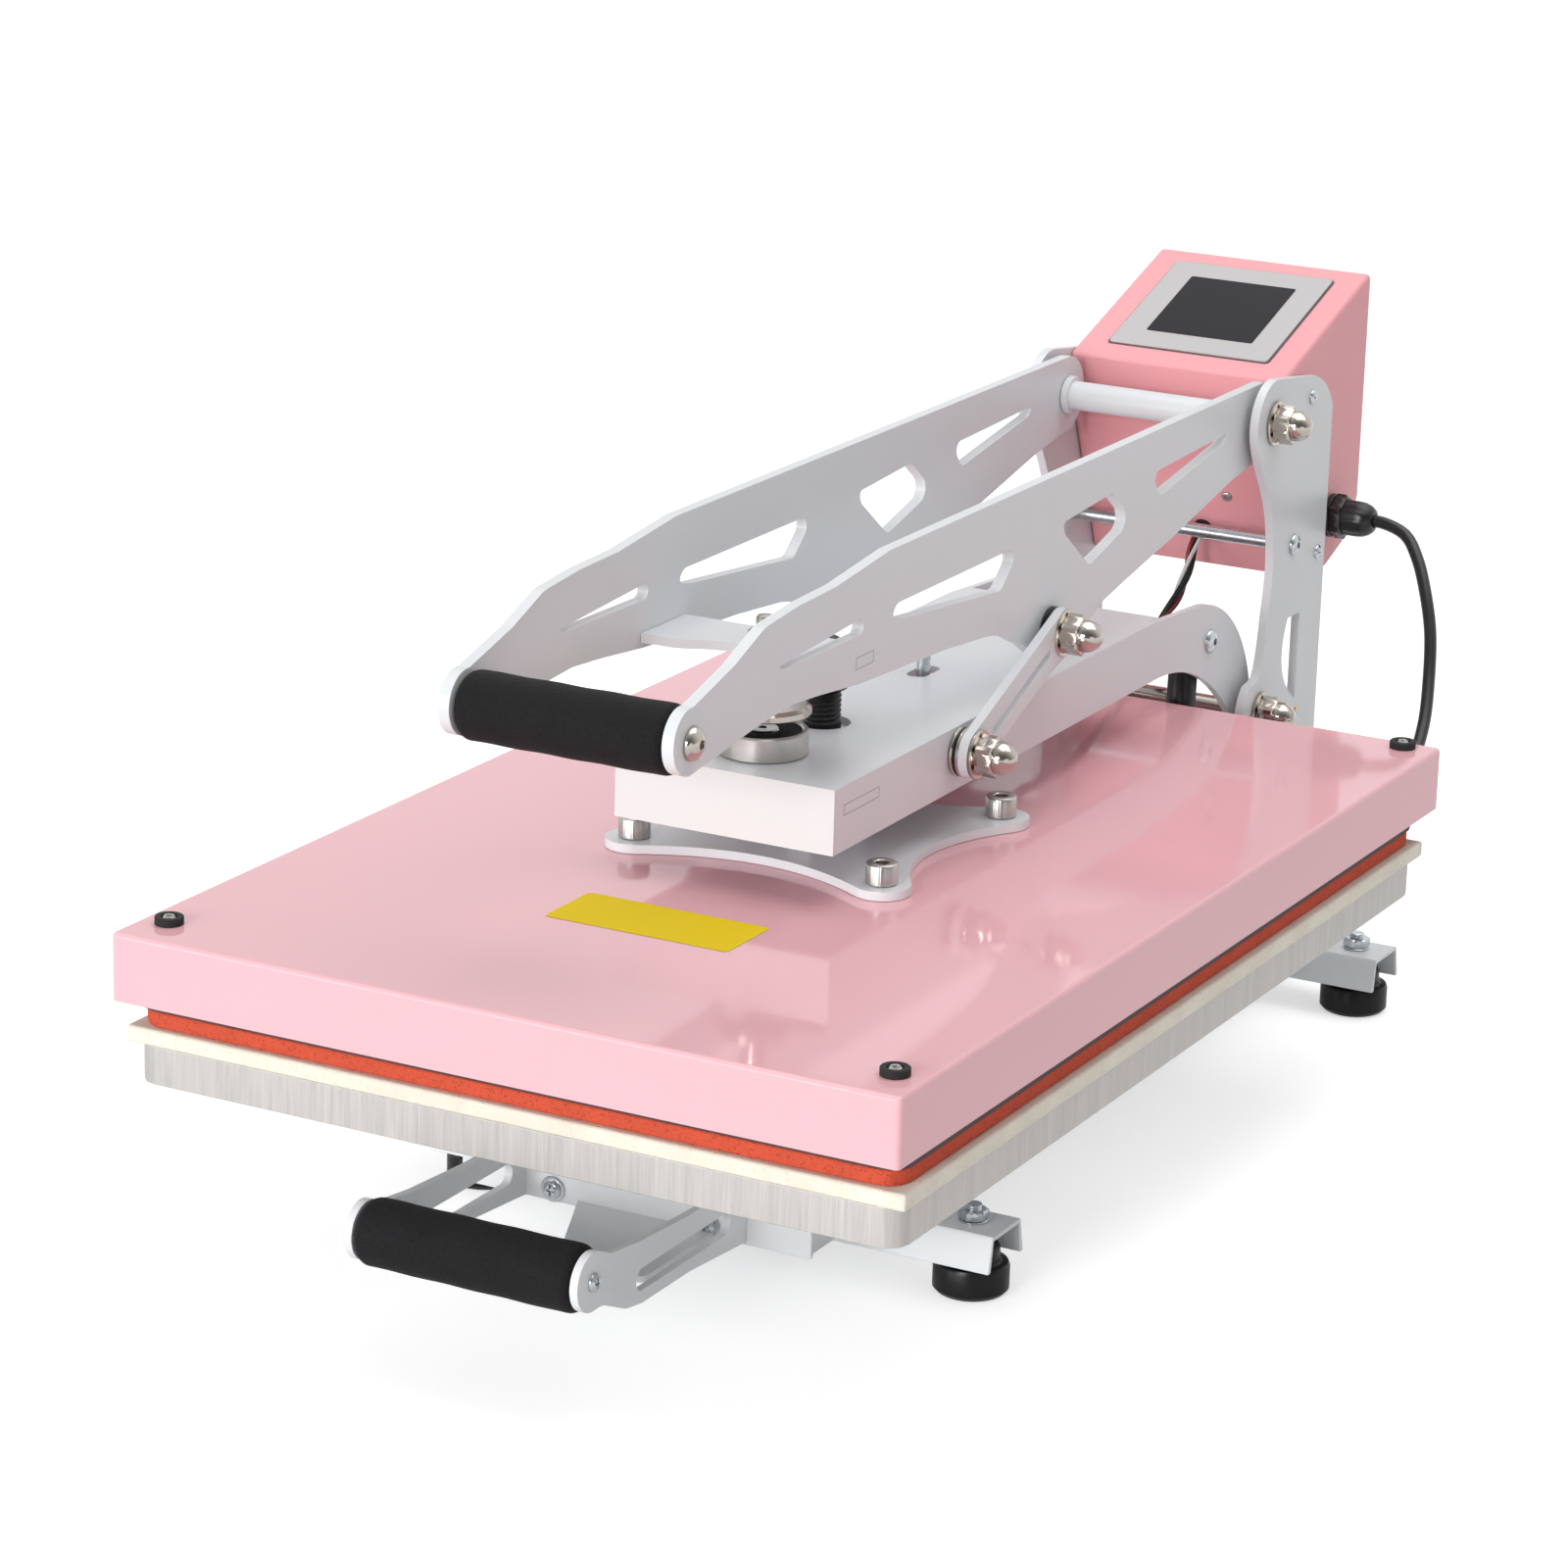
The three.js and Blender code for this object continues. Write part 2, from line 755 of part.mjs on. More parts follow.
// Spider: a plate with a lobe at each bolt and a concave edge between lobes.
function mountSpider() {
  const shape = new THREE.Shape();
  const lobes = [
    [1, -1],
    [1, 1],
    [-1, 1],
    [-1, -1],
  ];
  lobes.forEach(([sideX, sideY], index) => {
    const x = sideX * spiderBoltX;
    const y = pressY + sideY * spiderBoltY;
    const outward = Math.atan2(sideY, sideX);
    const spread = Math.PI * spiderLobeShare;
    const startAngle = outward - spread;
    const [startX, startY] = [
      x + spiderLobeRadius * Math.cos(startAngle),
      y + spiderLobeRadius * Math.sin(startAngle),
    ];
    if (index === 0) shape.moveTo(startX, startY);
    else {
      const across = sideY === lobes[index - 1][1];
      const waist = spiderWaistShare;
      const bendX = across ? 0 : sideX * spiderBoltX * waist;
      const bendY = across ? sideY * spiderBoltY * waist : 0;
      shape.quadraticCurveTo(bendX, pressY + bendY, startX, startY);
    }
    shape.absarc(x, y, spiderLobeRadius, startAngle, outward + spread);
  });
  const [firstX, firstY] = [spiderBoltX, pressY - spiderBoltY];
  const firstAngle = -Math.PI / 4 - Math.PI * spiderLobeShare;
  shape.quadraticCurveTo(
    0,
    pressY - spiderBoltY * spiderWaistShare,
    firstX + spiderLobeRadius * Math.cos(firstAngle),
    firstY + spiderLobeRadius * Math.sin(firstAngle),
  );
  const plate = plateZ(shape, spiderBottom, spiderTop);
  return cut(plate, ...spiderHoles(spiderBottom - over, spiderTop + over));
}

// A socket-head cap screw from the spider down into the heat platen.
function capScrew(x, y) {
  const headBottom = spiderTop + fit;
  const headTop = headBottom + capHeadHeight;
  const tip = heatTop - capThreadDepth;
  return cut(
    join(
      rodZ(capHeadRadius, headBottom, headTop, x, y),
      rodZ(capShankRadius, tip, headBottom + over, x, y),
    ),
    rodZ(capSocketRadius, headTop - capSocketDepth, headTop + over, x, y, hexSides),
  );
}

// Beam side wall: straight run, arch over the gas spring, lug round the hinge and outer elbow.
function beamSideShape() {
  const archEnd = Math.acos((archSetback - elbowLugRadius) / archRadius);
  const elbowStart = Math.asin((elbowLugRadius / 2 + elbowCentreDrop) / elbowOuterRadius);
  const shape = new THREE.Shape();
  shape.moveTo(beamFrontY, beamBottom);
  shape.absarc(hingeY - archSetback, beamBottom - archRadius, archRadius, Math.PI / 2, archEnd, true);
  shape.absarc(hingeY, hingeZ, elbowLugRadius, Math.PI, Math.PI * lugEndShare);
  shape.absarc(
    hingeY - elbowCentreSetback,
    hingeZ - elbowCentreDrop,
    elbowOuterRadius,
    elbowStart,
    Math.PI * elbowEndShare,
  );
  shape.lineTo(hingeY - beamTaperSetback, beamTop);
  shape.lineTo(beamFrontY, beamTop);
  return shape;
}

function pressBeam() {
  const topRear = hingeY - beamTopSetback;
  const inner = beamHalf - beamSheet;
  const walls = [
    plateX(beamSideShape(), -beamHalf, -inner),
    plateX(beamSideShape(), inner, beamHalf),
  ];
  const reach = inner + weld;
  const top = block(-reach, reach, beamFrontY, topRear, beamTop - beamSheet, beamTop);
  const frontWall = block(
    -reach,
    reach,
    beamFrontY,
    beamFrontY + beamSheet,
    beamBottom,
    beamTop,
  );
  const bossBottom = beamTop - beamSheet - screwBossHeight;
  const boss = rodZ(screwBossRadius, bossBottom, beamTop - beamSheet / 2, 0, pressY, fine);
  const studs = [-1, 1].map((side) => {
    const y = hingeY - springPivotSetback;
    const z = hingeZ + springPivotRise;
    const tip = springX + springEyeWidth / 2 + fit;
    const ends = [side * tip, side * (beamHalf + springStudHeadHeight)].sort((a, b) => a - b);
    const head = [side * (beamHalf - weld), ends[side > 0 ? 1 : 0]].sort((a, b) => a - b);
    return join(
      rodX(springStudRadius, ends[0], ends[1], y, z),
      rodX(springStudHeadRadius, head[0], head[1], y, z),
    );
  });
  const body = join(walls[0], walls[1], top, frontWall, boss);
  const slotY = pressY + guideStudSetback;
  const holes = [
    rodZ(pressureHoleRadius, beamTop - beamSheet, beamTop + over, 0, pressY, fine),
    rodZ(pressureScrewRadius + fit, bossBottom - over, beamTop + over, 0, pressY, fine),
    rodZ(leadHoleRadius, beamTop - beamSheet - over, beamTop + over, 0, magnetY),
    plateZ(
      slot(0, slotY - guideSlotLength / 4, 0, slotY + guideSlotLength / 4, guideSlotWidth),
      beamTop - beamSheet - over,
      beamTop + over,
    ),
    rodX(shaftRadius + fit, -beamHalf - over, beamHalf + over, hingeY, hingeZ),
    rodX(linkBoltRadius + fit, -beamHalf - over, beamHalf + over, linkPivotY, linkPivotZ),
  ];
  return join(cut(body, ...holes), ...studs);
}

// Electromagnet: chromed pot, potting below its rim and the steel core.
function electromagnet() {
  const bottom = beamTop + fit;
  const top = bottom + magnetHeight;
  const bed = top - magnetPotDepth;
  const profile = [
    [0, bottom],
    [magnetRadius, bottom],
    [magnetRadius, top],
    [magnetRadius - magnetWall, top],
    [magnetRadius - magnetWall, bed],
    [magnetCoreRadius, bed],
    [magnetCoreRadius, top],
    [0, top],
  ];
  return turnedZ(profile, 0, magnetY, fine);
}

// Armature: disc over the magnet, its post, and the nut that holds it on the cross plate.
function armature() {
  const bottom = beamTop + fit + magnetHeight + armatureGap;
  const top = bottom + armatureThickness;
  const plateTop = armPivotZ - crossPlateDrop;
  const plateBottom = plateTop - crossPlateThickness;
  const nutBottom = plateTop + fit;
  const nutTop = nutBottom + footNutHeight;
  const bodySolid = turnedZ(
    [
      [0, bottom],
      [armatureRadius, bottom],
      [armatureRadius, top - armatureBevel],
      [armatureRadius - armatureBevel, top],
      [armaturePostRadius, top],
      [armaturePostRadius, plateBottom - fit],
      [armatureShankRadius, plateBottom - fit],
      [armatureShankRadius, nutTop + armaturePostRadius / 2],
      [0, nutTop + armaturePostRadius],
    ],
    0,
    magnetY,
    fine,
  );
  return join(bodySolid, rodZ(armatureNutRadius, nutBottom, nutTop, 0, magnetY, hexSides));
}

// Pressure screw: threaded stem that turns in the beam, with its hexagon and smooth end.
function pressureScrew() {
  const bottom = spiderTop + fit + fit;
  const top = beamTop + pressureScrewRise;
  const threadStart = beamTop + over;
  const threadEnd = top - pressureScrewRadius;
  const profile = [
    [0, bottom],
    [pressureScrewRadius, bottom],
    [pressureScrewRadius, threadStart],
  ];
  const turns = Math.floor((threadEnd - threadStart) / threadPitch);
  for (let turn = 0; turn < turns; turn += 1) {
    const start = threadStart + turn * threadPitch;
    profile.push([pressureScrewRadius - threadDepth, start + threadPitch / 2]);
    profile.push([pressureScrewRadius, start + threadPitch]);
  }
  profile.push([pressureScrewRadius - threadDepth, top], [0, top]);
  const nutBottom = beamTop + pressureNutRise;
  return join(
    turnedZ(profile, 0, pressY),
    rodZ(pressureNutRadius, nutBottom, nutBottom + pressureNutHeight, 0, pressY, hexSides),
  );
}

function hub() {
  const bottom = spiderTop + fit;
  const top = beamBottom - fit;
  const bore = pressureScrewRadius + fit;
  const profile = [
    [bore, bottom],
    [hubRadius - bevel, bottom],
    [hubRadius, bottom + bevel],
    [hubRadius, top - bevel],
    [hubRadius - bevel, top],
    [bore, top],
    [bore, bottom],
  ];
  return turnedZ(profile, 0, pressY, fine);
}

// Uprights: a rounded head, a waist clear of the beam's elbow, and a foot on the tray floor.
const heelShare = 0.72; // of a half turn, where the arc round the hinge ends
const headShares = [1.14, 0.46]; // of a half turn, where the head's arc starts and ends
// Shares of the head's radius behind and above the handle's pivot
const shoulderShares = [
  [2.25, 0.7],
  [3.14, 0.45],
  [3.44, -0.24],
];

function uprightShape() {
  // Places [behind the pivots, height share], from the hinge up to the handle's pivot
  const neckShares = [
    [-0.17, 0.13],
    [0.23, 0.36],
    [0.35, 0.5],
    [0.11, 0.69],
    [-0.78, 0.9],
  ];
  const front = hingeY - uprightHeadRadius;
  const rear = hingeY + uprightRearReach;
  const floor = trayFloor + fit;
  const neck = neckShares.map(
    ([back, up]) =>
      new THREE.Vector2(hingeY + back * uprightHeadRadius, hingeZ + up * pivotRise),
  );
  const shape = new THREE.Shape();
  shape.moveTo(front, floor);
  shape.lineTo(front, hingeZ);
  shape.absarc(hingeY, hingeZ, uprightHeadRadius, Math.PI, Math.PI * heelShare, true);
  shape.splineThru(neck);
  const [headStart, headEnd] = headShares.map((share) => share * Math.PI);
  shape.absarc(hingeY, armPivotZ, uprightHeadRadius, headStart, headEnd, true);
  const [shoulder, pull, rearTop] = shoulderShares.map(([back, up]) => [
    hingeY + back * uprightHeadRadius,
    armPivotZ + up * uprightHeadRadius,
  ]);
  shape.lineTo(...shoulder);
  shape.quadraticCurveTo(...pull, rear, rearTop[1]);
  shape.lineTo(rear, floor);
  return shape;
}

// Shares of the head's radius behind the hinge, and of the rise to the handle's pivot above it
const windowShares = [
  [2.12, -0.02],
  [2.12, 0.283],
  [1.42, 0.285],
  [0.7, 0.1],
];

function upright(side) {
  const slotWindow = new THREE.Shape();
  const [low, high, highFront, pull] = windowShares.map(([back, up]) => [
    hingeY + back * uprightHeadRadius,
    hingeZ + up * pivotRise,
  ]);
  slotWindow.moveTo(...low);
  slotWindow.lineTo(...high);
  slotWindow.lineTo(...highFront);
  slotWindow.quadraticCurveTo(...pull, ...low);
  const plate = cut(
    plateX(uprightShape(), sideInner, sideOuter),
    plateX(slotWindow, sideInner - over, sideOuter + over),
    rodX(shaftRadius + fit, sideInner - over, sideOuter + over, hingeY, hingeZ),
    rodX(shaftRadius + fit, sideInner - over, sideOuter + over, hingeY, armPivotZ),
    rodX(
      spacerRodRadius + fit,
      sideInner - over,
      sideOuter + over,
      hingeY + spacerRodSetback,
      hingeZ + spacerRodRise,
    ),
  );
  const flange = block(
    sideInner - uprightFlangeWidth,
    sideOuter,
    hingeY - uprightHeadRadius,
    hingeY + uprightRearReach,
    trayFloor + fit,
    trayFloor + fit + uprightSheet,
  );
  const whole = join(plate, flange);
  return side > 0 ? whole : mirrorX(whole);
}

// A pivot shaft through both uprights, with collars beside them and an acorn nut at each end.
function pivotShaft(z, collarInner) {
  const face = sideOuter + fit;
  const nut = acornNutX(face, hingeY, z);
  const collar = rodX(collarRadius, collarInner + fit, sideInner - fit, hingeY, z);
  return join(
    rodX(shaftRadius, -face - washerThickness, face + washerThickness, hingeY, z),
    nut,
    mirrorX(nut),
    collar,
    mirrorX(collar),
  );
}

function spacerRod() {
  const y = hingeY + spacerRodSetback;
  const z = hingeZ + spacerRodRise;
  const reach = sideOuter + fit;
  const head = rodX(spacerHeadRadius, reach, reach + spacerHeadHeight, y, z);
  return join(rodX(spacerRodRadius, -reach - weld, reach + weld, y, z), head, mirrorX(head));
}

// The bolt of a link on the beam: inner head, collar under the link and acorn nut outside.
function linkBolt(side) {
  const inner = beamHalf - beamSheet;
  const linkOuter = sideInner + linkSheet;
  const bolt = join(
    rodX(linkHeadRadius, inner - beamSheet, inner - fit, linkPivotY, linkPivotZ, hexSides),
    rodX(linkBoltRadius, inner - beamSheet, linkOuter + over, linkPivotY, linkPivotZ),
    rodX(washerRadius, beamHalf + fit, sideInner - fit, linkPivotY, linkPivotZ),
    acornNutX(linkOuter + fit, linkPivotY, linkPivotZ),
  );
  return side > 0 ? bolt : mirrorX(bolt);
}

// A link: round ends, slight waist and long slot, with the nut of its upper pivot.
function link(side) {
  const outer = sideInner + linkSheet;
  const along = new THREE.Vector2(armLinkY - linkPivotY, armLinkZ - linkPivotZ);
  const length = along.length();
  const angle = along.angle();
  const shape = new THREE.Shape();
  shape.absarc(0, 0, linkEndRadius, Math.PI / 2, (3 * Math.PI) / 2);
  shape.quadraticCurveTo(length / 2, linkEndRadius - linkWaist, length, -linkEndRadius);
  shape.absarc(length, 0, linkEndRadius, -Math.PI / 2, Math.PI / 2);
  shape.lineTo(0, linkEndRadius);
  const margin = (length * (1 - linkSlotShare)) / 2;
  const slotShape = slot(margin, 0, length - margin, 0, linkSlotWidth);
  const lay = (flat, x0, x1) =>
    solidOf(
      extrude(flat, x1 - x0)
        .rotateZ(angle)
        .applyMatrix4(outlineAcross)
        .translate(x0, linkPivotY, linkPivotZ),
    );
  const plate = cut(
    lay(shape, sideInner, outer),
    lay(slotShape, sideInner - over, outer + over),
    rodX(linkBoltRadius + fit, sideInner - over, outer + over, linkPivotY, linkPivotZ),
  );
  const whole = join(plate, acornNutX(outer - washerThickness / 2, armLinkY, armLinkZ));
  return side > 0 ? whole : mirrorX(whole);
}

// Handle arm: outline and cut-outs as shares of the arm's reach, and of its rise above the pivot.
const armEdgeShares = [
  [0, 1],
  [0.7, 1],
  [0.786, 0.72],
  [0.844, 0.67],
  [0.895, 0.53],
  [0.94, 0],
  [1.004, -0.53],
  [1, -1.95],
  [0.962, -1.82],
  [0.9, -1.58],
  [0.853, -1.49],
  [0.81, -1.58],
  [0.746, -1.77],
  [0.684, -1.85],
  [0.6, -1.97],
  [0.528, -2.15],
  [0.5, -2.3],
  [0.46, -2.82],
  [0.435, -3.28],
  [0.395, -3.28],
  [0.335, -2.99],
  [0.31, -2.7],
  [0.27, -2.47],
  [0.17, -1.93],
  [0.06, -1.25],
  [0, -0.98],
];
const armCutShares = [
  [
    [0.875, -0.5],
    [0.742, -0.27],
    [0.741, -0.65],
    [0.866, -0.6],
  ],
  [
    [0.695, -0.6],
    [0.687, -0.31],
    [0.472, -0.31],
    [0.507, -1.2],
    [0.673, -0.74],
  ],
  [
    [0.395, -0.25],
    [0.303, -0.08],
    [0.26, -1.02],
    [0.342, -1.63],
    [0.392, -0.55],
  ],
  [
    [0.224, -0.06],
    [0.208, -0.74],
    [0.077, -0.15],
    [0.072, 0.08],
  ],
];

function arm(side) {
  const place = (radius) => ([along, up]) => [
    hingeY - along * armReach,
    armPivotZ + up * armRise,
    radius,
  ];
  const edge = outline(armEdgeShares.map(place(armEdgeRadius)));
  const plate = join(
    plateX(edge, armInner, armOuter),
    plateX(disc(hingeY, armPivotZ, armEndRadius), armInner, armOuter),
    plateX(disc(gripY - armTipShift, gripZ + armTipShift, armTipRadius), armInner, armOuter),
  );
  const windows = armCutShares.map((corners) =>
    plateX(outline(corners.map(place(cutRadius))), armInner - over, armOuter + over),
  );
  const bossFace = sideInner - fit;
  const boss = rodX(washerRadius, armOuter - weld, bossFace, armLinkY, armLinkZ);
  const whole = join(
    cut(
      plate,
      ...windows,
      rodX(shaftRadius + fit, armInner - over, armOuter + over, hingeY, armPivotZ),
      rodX(gripBoltRadius + fit, armInner - over, armOuter + over, gripY, gripZ),
    ),
    boss,
  );
  return side > 0 ? whole : mirrorX(whole);
}

// Cross tube round the handle's shaft, with a collar at each arm.
function crossTube() {
  const end = armInner - fit;
  const bore = shaftRadius + fit;
  return turnedX(
    [
      [bore, -end],
      [crossCollarRadius, -end],
      [crossCollarRadius, crossCollarWidth - end],
      [crossTubeRadius, crossCollarWidth - end],
      [crossTubeRadius, end - crossCollarWidth],
      [crossCollarRadius, end - crossCollarWidth],
      [crossCollarRadius, end],
      [bore, end],
      [bore, -end],
    ],
    hingeY,
    armPivotZ,
    fine,
  );
}

// Cross plate between the arms, with a hollow front edge and a hole for the armature.
const hollowShares = [0.75, 0.5]; // of its half width, where the hollow edge starts and is pulled to

function crossPlate() {
  const end = armInner - fit;
  const front = magnetY - crossPlateDepth / 2 - crossPlateHollow / 4;
  const rear = front + crossPlateDepth;
  const top = armPivotZ - crossPlateDrop;
  const shape = new THREE.Shape();
  const [start, pull] = hollowShares.map((share) => share * end);
  const deep = front + crossPlateHollow;
  shape.moveTo(-end, front);
  shape.lineTo(-start, front);
  shape.bezierCurveTo(-pull, front, -pull, deep, 0, deep);
  shape.bezierCurveTo(pull, deep, pull, front, start, front);
  shape.lineTo(end, front);
  shape.lineTo(end, rear);
  shape.lineTo(-end, rear);
  return cut(
    plateZ(shape, top - crossPlateThickness, top),
    rodZ(armatureShankRadius + fit, top - crossPlateThickness - over, top + over, 0, magnetY),
  );
}

// The bolt through the foam grip, with a button head outside each arm.
function gripBolt() {
  const face = armOuter + fit;
  const head = [[0, face]];
  const steps = 3;
  for (let step = 0; step <= steps; step += 1) {
    const angle = (Math.PI / 2) * (step / steps);
    head.push([gripHeadRadius * Math.cos(angle), face + gripHeadHeight * Math.sin(angle)]);
  }
  head[head.length - 1][0] = 0;
  const button = cut(
    turnedX(head, gripY, gripZ),
    rodX(gripSocketRadius, face + gripHeadHeight / 2, face + gripHeadHeight + over, gripY, gripZ, hexSides),
  );
  return join(
    rodX(gripBoltRadius, -face - weld, face + weld, gripY, gripZ),
    button,
    mirrorX(button),
  );
}

// Gas springs: the rod turns on the bracket's pin, and the body slides on the rod.
const springFootY = hingeY - springFootSetback;
const springFootZ = hingeZ - springFootDrop;
const springHeadY = hingeY - springPivotSetback;
const springHeadZ = hingeZ + springPivotRise;
const springLength = Math.hypot(springHeadY - springFootY, springHeadZ - springFootZ);
const springLean = Math.atan2(springHeadY - springFootY, springHeadZ - springFootZ);

function leanSpring(solid, x) {
  const leanDegrees = THREE.MathUtils.radToDeg(springLean);
  return solid.rotate([-leanDegrees, 0, 0]).translate([x, springFootY, springFootZ]);
}

function springRod(side) {
  const half = springEyeWidth / 2;
  const rodTop = springLength - 2 * springEyeRadius;
  const eye = rodX(springEyeRadius, -half, half, 0, 0);
  const stem = rodZ(springRodRadius, springEyeRadius / 2, rodTop, 0, 0);
  const bore = rodX(springPinRadius + fit, -half - over, half + over, 0, 0);
  return leanSpring(cut(join(eye, stem), bore), side * springX);
}

function springBody(side) {
  const half = springEyeWidth / 2;
  const bodyTop = springLength - springEyeRadius * springNeckShare;
  const bodyBottom = bodyTop - springBodyLength;
  const bore = springRodRadius + fit;
  const tube = turnedZ(
    [
      [bore, bodyBottom],
      [springBodyRadius - bevel, bodyBottom],
      [springBodyRadius, bodyBottom + bevel],
      [springBodyRadius, bodyTop - bevel],
      [springBodyRadius - bevel, bodyTop],
      [0, bodyTop],
      [0, bodyTop - springEyeRadius],
      [bore, bodyTop - springEyeRadius],
      [bore, bodyBottom],
    ],
    0,
    0,
  );
  const eye = rodX(springEyeRadius, -half, half, 0, springLength);
  return leanSpring(join(tube, eye), side * springX);
}

function springBracket() {
  const half = sideInner - springBracketGap;
  const y0 = springFootY - springBracketDepth / 2;
  const y1 = springFootY + springBracketDepth / 2;
  const bottom = trayFloor + fit;
  const lug = plateX(
    outline([
      [y0, bottom],
      [y1, bottom],
      [y1, springFootZ + springEyeRadius, springEyeRadius],
      [y0, springFootZ + springEyeRadius, springEyeRadius],
    ]),
    half - springBracketSheet,
    half,
  );
  const floor = block(-half, half, y0, y1, bottom, bottom + springBracketSheet);
  const reach = half + springStudHeadHeight;
  return join(
    floor,
    lug,
    mirrorX(lug),
    rodX(springPinRadius, -reach, reach, springFootY, springFootZ),
  );
}

// Control box: folded housing with a sloping top, open below for its base plate.
const boxHalf = sideInner - fit;
const boxRear = hingeY + boxRearReach;
const boxBottom = hingeZ + boxRise;
// Corners as shares of the box's depth and height, from the rear edge down and round to the top
const boxCornerShares = [
  [1, 0.19],
  [0.85, 0.06],
  [0.63, 0],
  [0.36, 0],
  [0.08, 0.5],
  [0, 0.75],
  [1, 1],
];

function boxPoint([back, up]) {
  return [boxRear - boxDepth + back * boxDepth, boxBottom + up * boxHeight];
}

function offsetInward(points, distance) {
  const count = points.length;
  return points.map((point, index) => {
    const before = new THREE.Vector2(...points[(index + count - 1) % count]);
    const here = new THREE.Vector2(...point);
    const after = new THREE.Vector2(...points[(index + 1) % count]);
    const inDirection = here.clone().sub(before).normalize();
    const outDirection = after.clone().sub(here).normalize();
    const normalIn = new THREE.Vector2(inDirection.y, -inDirection.x);
    const normalOut = new THREE.Vector2(outDirection.y, -outDirection.x);
    const bisector = normalIn.add(normalOut).normalize();
    const scale = distance / bisector.dot(normalOut);
    return [here.x + bisector.x * scale, here.y + bisector.y * scale];
  });
}

const boxOutline = boxCornerShares.map(boxPoint);
const [boxRearLow, boxFrontLow] = [boxOutline[2][0], boxOutline[3][0]];
const [slopeFront, slopeRear] = boxOutline.slice(-2);
const slopeAngle = Math.atan2(slopeRear[1] - slopeFront[1], slopeRear[0] - slopeFront[0]);
const slopeLength = Math.hypot(slopeRear[1] - slopeFront[1], slopeRear[0] - slopeFront[0]);

// Lays a solid made flat round the origin on the middle of the sloping top.
function onSlope(solid) {
  return solid
    .rotate([THREE.MathUtils.radToDeg(slopeAngle), 0, 0])
    .translate([0, (slopeFront[0] + slopeRear[0]) / 2, (slopeFront[1] + slopeRear[1]) / 2]);
}

const glandY = hingeY + glandSetback;
const glandZ = armPivotZ - glandDrop;
const inletZ = armPivotZ - inletDrop;
const rockerY = boxRear + fit + inletProud - rockerReach;

function controlBox() {
  const housing = plateX(polygon(boxOutline), -boxHalf, boxHalf);
  const inside = plateX(
    polygon(offsetInward(boxOutline, boxSheet)),
    boxSheet - boxHalf,
    boxHalf - boxSheet,
  );
  const hatchMargin = 2 * boxSheet;
  const hatch = block(
    hatchMargin - boxHalf,
    boxHalf - hatchMargin,
    boxFrontLow + hatchMargin,
    boxRearLow,
    boxBottom - over,
    boxBottom + hatchMargin,
  );
  const screenHole = screenWidth / 2 + fit;
  const windowCut = block(-screenHole, screenHole, -screenHole, screenHole, -hatchMargin, over);
  const holeHalf = inletWidth / 2 + fit;
  const inletHole = block(
    -holeHalf,
    holeHalf,
    boxRear - hatchMargin,
    boxRear + over,
    inletZ - inletHeight / 2 - fit,
    inletZ + inletHeight / 2 + fit,
  );
  const glandHole = rodX(
    glandStemRadius + fit,
    boxHalf - hatchMargin,
    boxHalf + over,
    glandY,
    glandZ,
  );
  return cut(housing, inside, hatch, onSlope(windowCut), inletHole, glandHole);
}

function boxBase() {
  const inset = 2 * boxSheet + fit;
  return block(
    inset - boxHalf,
    boxHalf - inset,
    boxFrontLow + inset,
    boxRearLow - fit,
    boxBottom,
    boxBottom + boxSheet,
  );
}

function screenBezel() {
  const half = bezelWidth / 2;
  const hole = screenWidth / 2 + fit;
  const reach = Math.min(half, slopeLength / 2 - 4 * boxSheet);
  const plate = plateZ(rectangle(-half, half, -reach, reach, 2 * bezelThickness), fit, fit + bezelThickness);
  return onSlope(cut(plate, block(-hole, hole, -hole, hole, -over, over + bezelThickness)));
}

function touchScreen() {
  const half = screenWidth / 2;
  return onSlope(block(-half, half, -half, half, -2 * boxSheet, bezelThickness / 2));
}

function cableGland() {
  const face = boxHalf + fit;
  const nutEnd = face + glandNutLength;
  const tip = face + glandLength;
  const bore = cableRadius + fit;
  const stemStart = face - 2 * boxSheet;
  const profile = [
    [bore, stemStart],
    [glandStemRadius, stemStart],
    [glandStemRadius, face],
    [glandDomeRadius, face],
    [glandDomeRadius, nutEnd],
    [glandDomeRadius, tip - glandDomeRadius / 2],
    [glandDomeRadius * glandTaperShare, tip - glandDomeRadius * (1 - glandTaperShare)],
    [cableRadius + glandLip, tip],
    [bore, tip],
    [bore, stemStart],
  ];
  const nut = cut(
    rodX(glandNutRadius, face, nutEnd, glandY, glandZ, hexSides),
    rodX(glandStemRadius - weld, face - over, nutEnd + over, glandY, glandZ),
  );
  return join(turnedX(profile, glandY, glandZ), nut);
}

